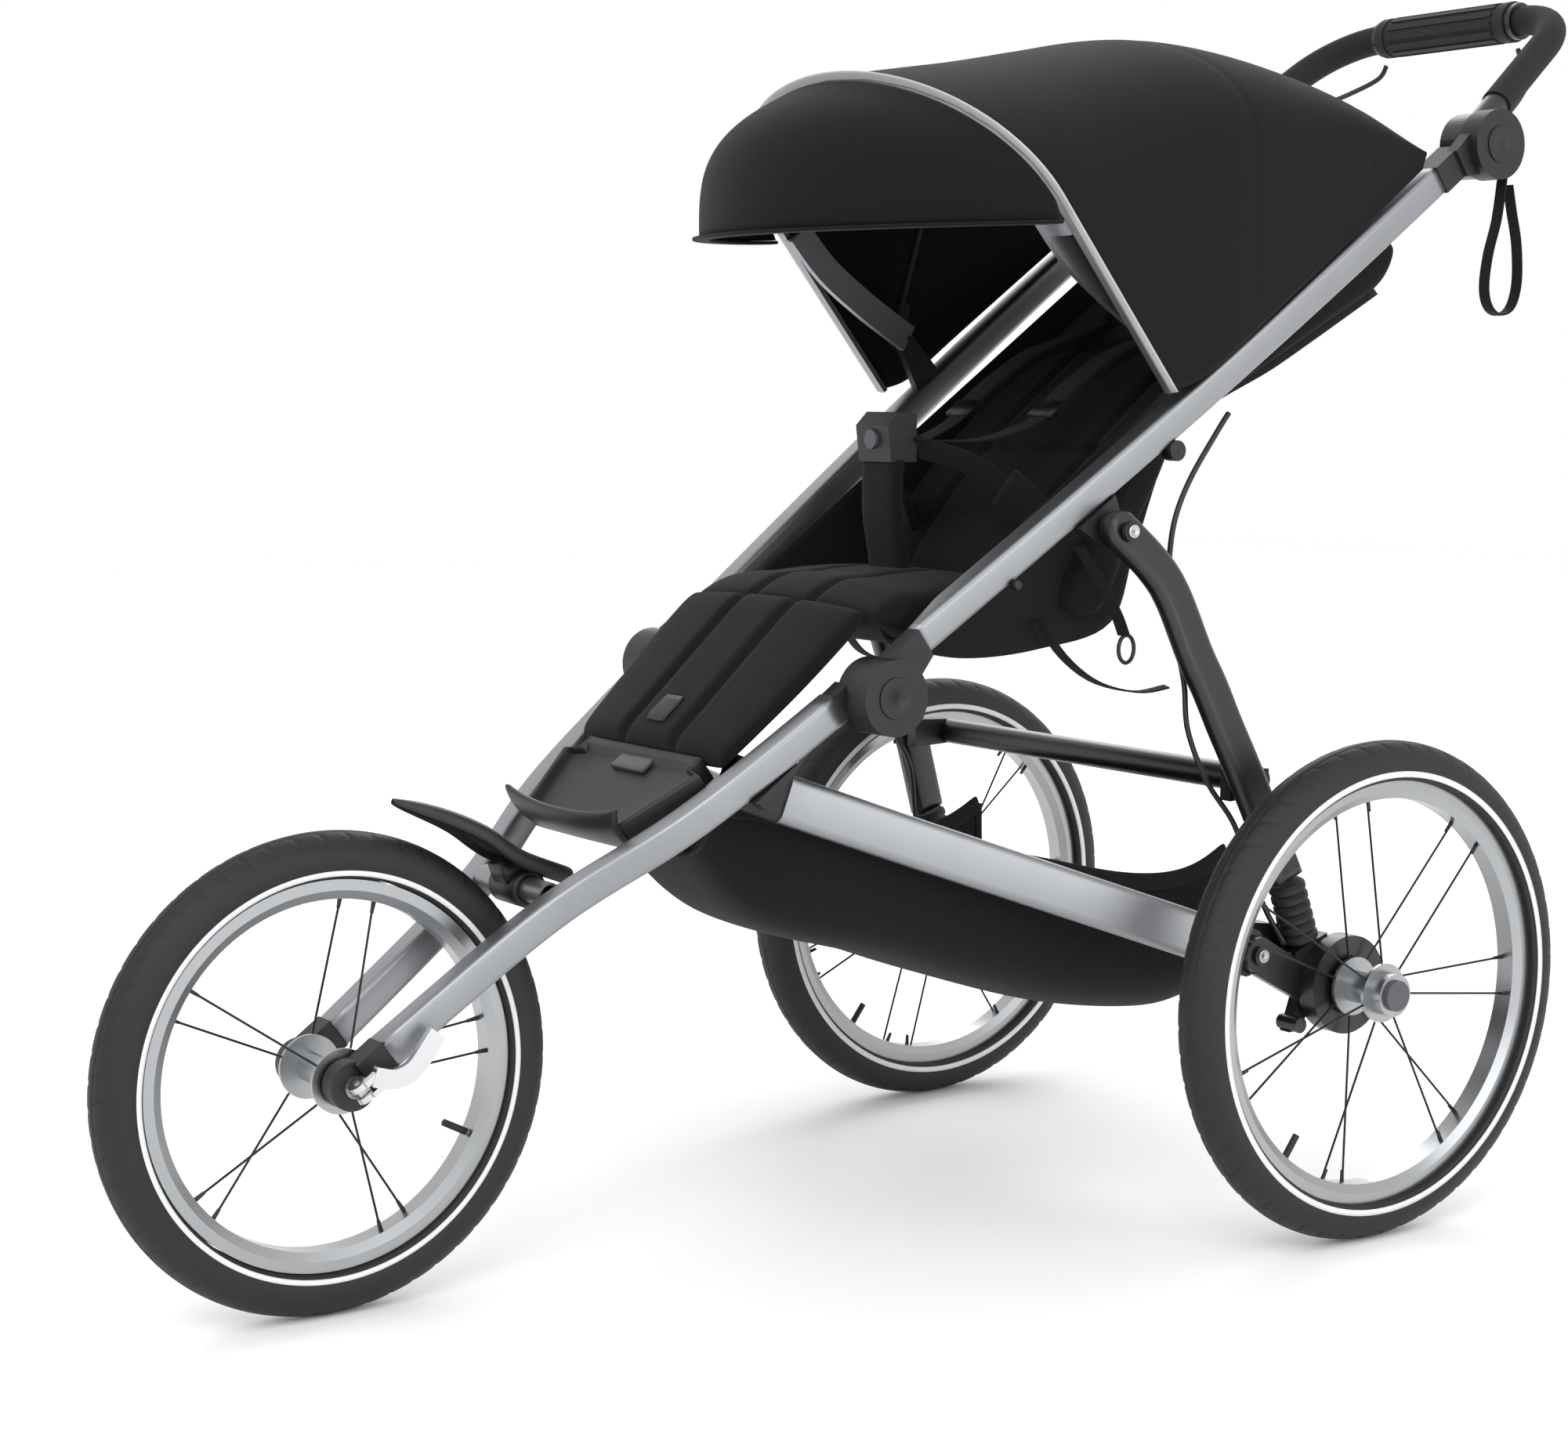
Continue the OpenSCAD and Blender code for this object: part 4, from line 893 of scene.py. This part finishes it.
# %% Cables
CABLE = [[199, 276, 724], [200, 262, 708], [200, 232, 668], [200, 215, 634], [200, 209, 600], [200, 210, 570],
         [204, 214, 530], [212, 218, 490], [220, 216, 450], [228, 232, 405], [236, 258, 366], [245, 271, 322],
         [255, 283, 286], [262, 298, 258]]
LEAD = [[88, 760, 1081], [96, 757, 1068], [118, 740, 1054], [140, 715, 1040], [158, 684, 1022],
        [170, 650, 1002], [178, 622, 992]]
for side, sign in SIGNS.items():
    for label, route, body in (("cable", CABLE, "upper_frame"), ("lead", LEAD, "handlebar")):
        sweep(f"brake_{label}_{side}", smooth(route, 70)*[sign, 1, 1], circle(2.5, 12),
                            side=(0.3, 0.9, 0.1), material=cable_skin, slot="rubber", body=body)
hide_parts("brake_cables")

# %% [markdown]
# ## Fender and footrest
# Both are moulded nylon shells. The fender is a thick leaf that narrows to a rounded point over the wheel
# and turns down at its edges; the footrest is a plate with a raised border, a plain badge plate and a
# scooped front lip whose upper corners reach outwards.

# %% Fender
FENDER_LINE = [[-441, 414], [-405, 404], [-370, 388], [-335, 364], [-292, 346]]
FENDER_HALF = [[3.0], [25], [33], [34.8], [34]]
fender_path = smooth(FENDER_LINE, 48)
fender_half = smooth(FENDER_HALF, 48)
fender_tangent = unit(np.gradient(fender_path, axis=0))
fender_up = np.stack([-fender_tangent[:, 1], fender_tangent[:, 0]], -1)
ring_t = np.linspace(-1, 1, 25)
top_x, top_h = np.sin(ring_t*math.pi/2), 3.0 - 12.0*abs(ring_t)**4
low_x, low_h = top_x[::-1]*0.93, (top_h - 5.0 + 1.5*abs(ring_t)**6)[::-1]
section_x, section_h = np.concatenate([top_x, low_x]), np.concatenate([top_h, low_h])
ease = np.sqrt(np.clip(fender_half/34.8, 0, 1))
fender_yz = fender_path[:, None] + fender_up[:, None]*(section_h*ease)[..., None]
fender_grid = np.concatenate([(section_x*fender_half)[..., None], fender_yz], -1)
fender = surface("fender_shell", place(fender_grid), around=True, capped=True, **NYLON, body="front_frame")
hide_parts("fender")
clamp = on_line(-270, -8)
turned("fender_clamp", [[10.6, -22], [15, -22], [15.8, -20.5], [15.8, 20.5], [15, 22], [10.6, 22]],
       (0, *clamp), 40, **NYLON, body="front_frame")
post = [on_line(-270, 2), on_line(-268, 10), on_line(-266, 17)]
sweep("fender_post", middle_plane(post), rounded(28.0, 22.0, 4.0), **NYLON, body="front_frame")
print("fender")

# %% Footrest
TRAY = np.array([[-106, 90], [-114, 90], [-121, 90], [-125, 111], [-140, 104], [-160, 95], [-180, 85],
                 [-199, 77]], float)
tray_along, tray_half = TRAY[:, 0][:, None], TRAY[:, 1][:, None]
edge_share = np.array([-1, -1, -0.97, -0.93, -0.915, -0.5, 0, 0.5, 0.915, 0.93, 0.97, 1, 1])
edge_off = np.array([-12, 6, 8, 7, 0, 0, 0, 0, 0, 7, 8, 6, -12])
tray_low = np.array([1, .6, .2, -.2, -.6, -1])
ring_x = np.concatenate([edge_share, tray_low*0.99])[None]*tray_half
ring_off = np.concatenate([edge_off, np.full(6, -16.0)])[None] + 0*tray_half
ring_off[0, 4:9] = ring_off[1, 4:9] = 7
tray_yz = on_line(tray_along + 0*ring_x, ring_off)
tray = surface("footrest_plate", place(np.concatenate([ring_x[..., None], tray_yz], -1)), around=True,
               capped=True, **NYLON, body="front_frame")
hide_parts("footrest")
bevel = tray.modifiers.new("edges", "BEVEL")
bevel.width, bevel.segments = 0.0012, 2
lip_share = np.linspace(-1, 1, 33)[None]
lip_v = np.linspace(0, 1, 15)[:, None]
lip_half = 79 + 13*lip_v**1.5
lip_along = -194 - 17*np.sin(lip_v*math.pi/2)*(1 - 0.45*lip_share**2) + 9*lip_v**3
lip_off = -19 + (46 - 6*(1 - abs(lip_share)**3))*lip_v + 0*lip_share
lip_yz = on_line(lip_along + 0*lip_share, lip_off)
lip = surface("footrest_lip", place(np.concatenate([(lip_share*lip_half)[..., None], lip_yz], -1)),
              **NYLON, body="front_frame")
thicken(lip, 0.006, 1)
plate = [on_line(a, 2.4) for a in (-131, -125, -119, -113)]
sweep("badge_plate", middle_plane(plate), rounded(50.0, 5.0, 2.0), material=soft_grey, slot="black_plastic",
      body="front_frame")
print("footrest")

# %% [markdown]
# ## Small fittings
# Caps on the fold and handlebar hubs, rivets and bolts, knobs under the rails, spoke nipples and the
# straps under the seat are small turned or swept parts. Their rounded edges catch the light.


# %% Turned fittings
def button_profile(radius, height, edge=1.2, dish=0.0):
    """A disc with a rounded edge, as (radius, x) pairs from the axis outwards."""
    a = np.linspace(0, math.pi/2, 5)
    corner = np.stack([radius - edge + edge*np.cos(a), height - edge + edge*np.sin(a)], -1)
    return np.concatenate([[[0.01, 0]], [[radius, 0]], corner,
                           [[max(radius - 3.2, 0.5), height - dish], [0.01, height - dish]]])


def fitting(name, yz, x, radius, height, look, body, dish=0.0):
    """One disc on each outer side, its base at x, mirrored for the right."""
    for side, sign in SIGNS.items():
        profile = button_profile(radius, height, min(1.2, height/2), dish)*[1, sign]
        turned(f"{name}_{side}", profile, (sign*x, *yz), 40, **look, body=body)


STEEL = {"material": steel, "slot": "steel"}
fitting("fold_cap", on_line(*FOLD_PIVOT), 190.0, 17.5, 1.6, NYLON, "upper_frame")
fitting("bar_hub_cap", on_line(*BAR_PIVOT), 235.0, 17.0, 1.6, NYLON, "upper_frame")
fitting("leg_bolt", LEG_TOP, 227.0, 6.0, 2.2, STEEL, "upper_frame", 0.8)
fitting("rail_knob", on_line(378, -34), 194.0, 9.0, 12.0, NYLON, "upper_frame")
fitting("rail_stud", on_line(181, -29), 182.0, 4.0, 8.0, NYLON, "upper_frame")
fitting("rear_bolt", REAR_PIVOT, 275.0, 6.0, 1.8, STEEL, "rear_frame", 0.8)
print("turned fittings")


# %% Spoke nipples
def nipples(name, centre, rim_radius, pairs, first, splay, body):
    """Short black sleeves where each spoke meets the rim, all in one mesh: one ring of six points at
    radius rim - 16.6 and a smaller one 9.4 mm further in, for each spoke angle."""
    angles = np.radians(np.concatenate([first - np.arange(pairs)*360/pairs,
                                        first - np.arange(pairs)*360/pairs + splay]))
    sides = np.repeat([1, -1], pairs)
    k = np.linspace(0, 2*math.pi, 7)[:-1]
    verts, faces = [], []
    for n, (angle, way) in enumerate(zip(angles, sides)):
        out = np.array([0, math.cos(angle), math.sin(angle)])
        turn = np.array([0, -math.sin(angle), math.cos(angle)])
        ring = 2.0*(np.cos(k)[:, None]*[1, 0, 0] + np.sin(k)[:, None]*turn)
        base = np.array(centre) + [way*3.6, 0, 0]
        far = np.array([way*1.6, 0, 0])
        verts += [*(base + out*(rim_radius - 16.6) + ring),
                  *(base + far + out*(rim_radius - 26) + ring*0.75)]
        b = 12*n
        faces += [[b + i, b + (i + 1) % 6, b + 6 + (i + 1) % 6, b + 6 + i] for i in range(6)]
        faces += [[b + i for i in range(5, -1, -1)], [b + 6 + i for i in range(6)]]
    mesh = bpy.data.meshes.new(name)
    mesh.from_pydata(place(verts).tolist(), [], faces)
    piece = bpy.data.objects.new(name, mesh)
    bpy.context.scene.collection.objects.link(piece)
    outwards(piece)
    mesh.materials.append(nylon)
    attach(piece, body)


nipples("nipples_front", FRONT_AXLE, FRONT_RIM_R, 5, 72.5, 10.7, "front_wheel")
for side, sign in SIGNS.items():
    nipples(f"nipples_rear_{side}", REAR_AXLE*[sign, 1, 1], REAR_RIM_R, 7, 95.4, 11, f"rear_wheel_{side}")
print("nipples on three wheels")

# %% Straps under the seat
RECLINE = [[172, 128, 612], [176, 150, 580], [180, 166, 552], [182, 174, 532]]
TENSION = [[150, 104, 548], [160, 122, 516], [172, 150, 492], [184, 187, 482], [194, 214, 486]]
ring = circle(11, 25)[:, ::-1]*[0.8, 1.1]
ring = np.concatenate([ring, ring[:1]])
ring_line = np.stack([0*ring[:, 0] + 183, ring[:, 0] + 176, ring[:, 1] + 520], -1)
for side, sign in SIGNS.items():
    flip = np.array([sign, 1, 1])
    sweep(f"recline_strap_{side}", smooth(RECLINE, 16)*flip, flat(16, 1.8), **WEB, body="upper_frame")
    sweep(f"strap_ring_{side}", ring_line*flip, circle(1.8, 8), **NYLON, body="upper_frame")
    sweep(f"tension_strap_{side}", smooth(TENSION, 20)*flip, flat(14, 1.8), **WEB, body="upper_frame")
print("straps under the seat")

# %% [markdown]
# ## Floor
# The floor is one large pale plane.

# %% Floor
floor_mesh = bpy.data.meshes.new("floor")
floor_mesh.from_pydata([(-9, -9, 0), (9, -9, 0), (9, 9, 0), (-9, 9, 0)], [], [(0, 1, 2, 3)])
floor = bpy.data.objects.new("floor", floor_mesh)
bpy.context.scene.collection.objects.link(floor)
floor_mesh.materials.append(material("matt_floor", "#ffffff", 0.85, grain=3, depth=0.0, variation=0.01))
print("floor laid")
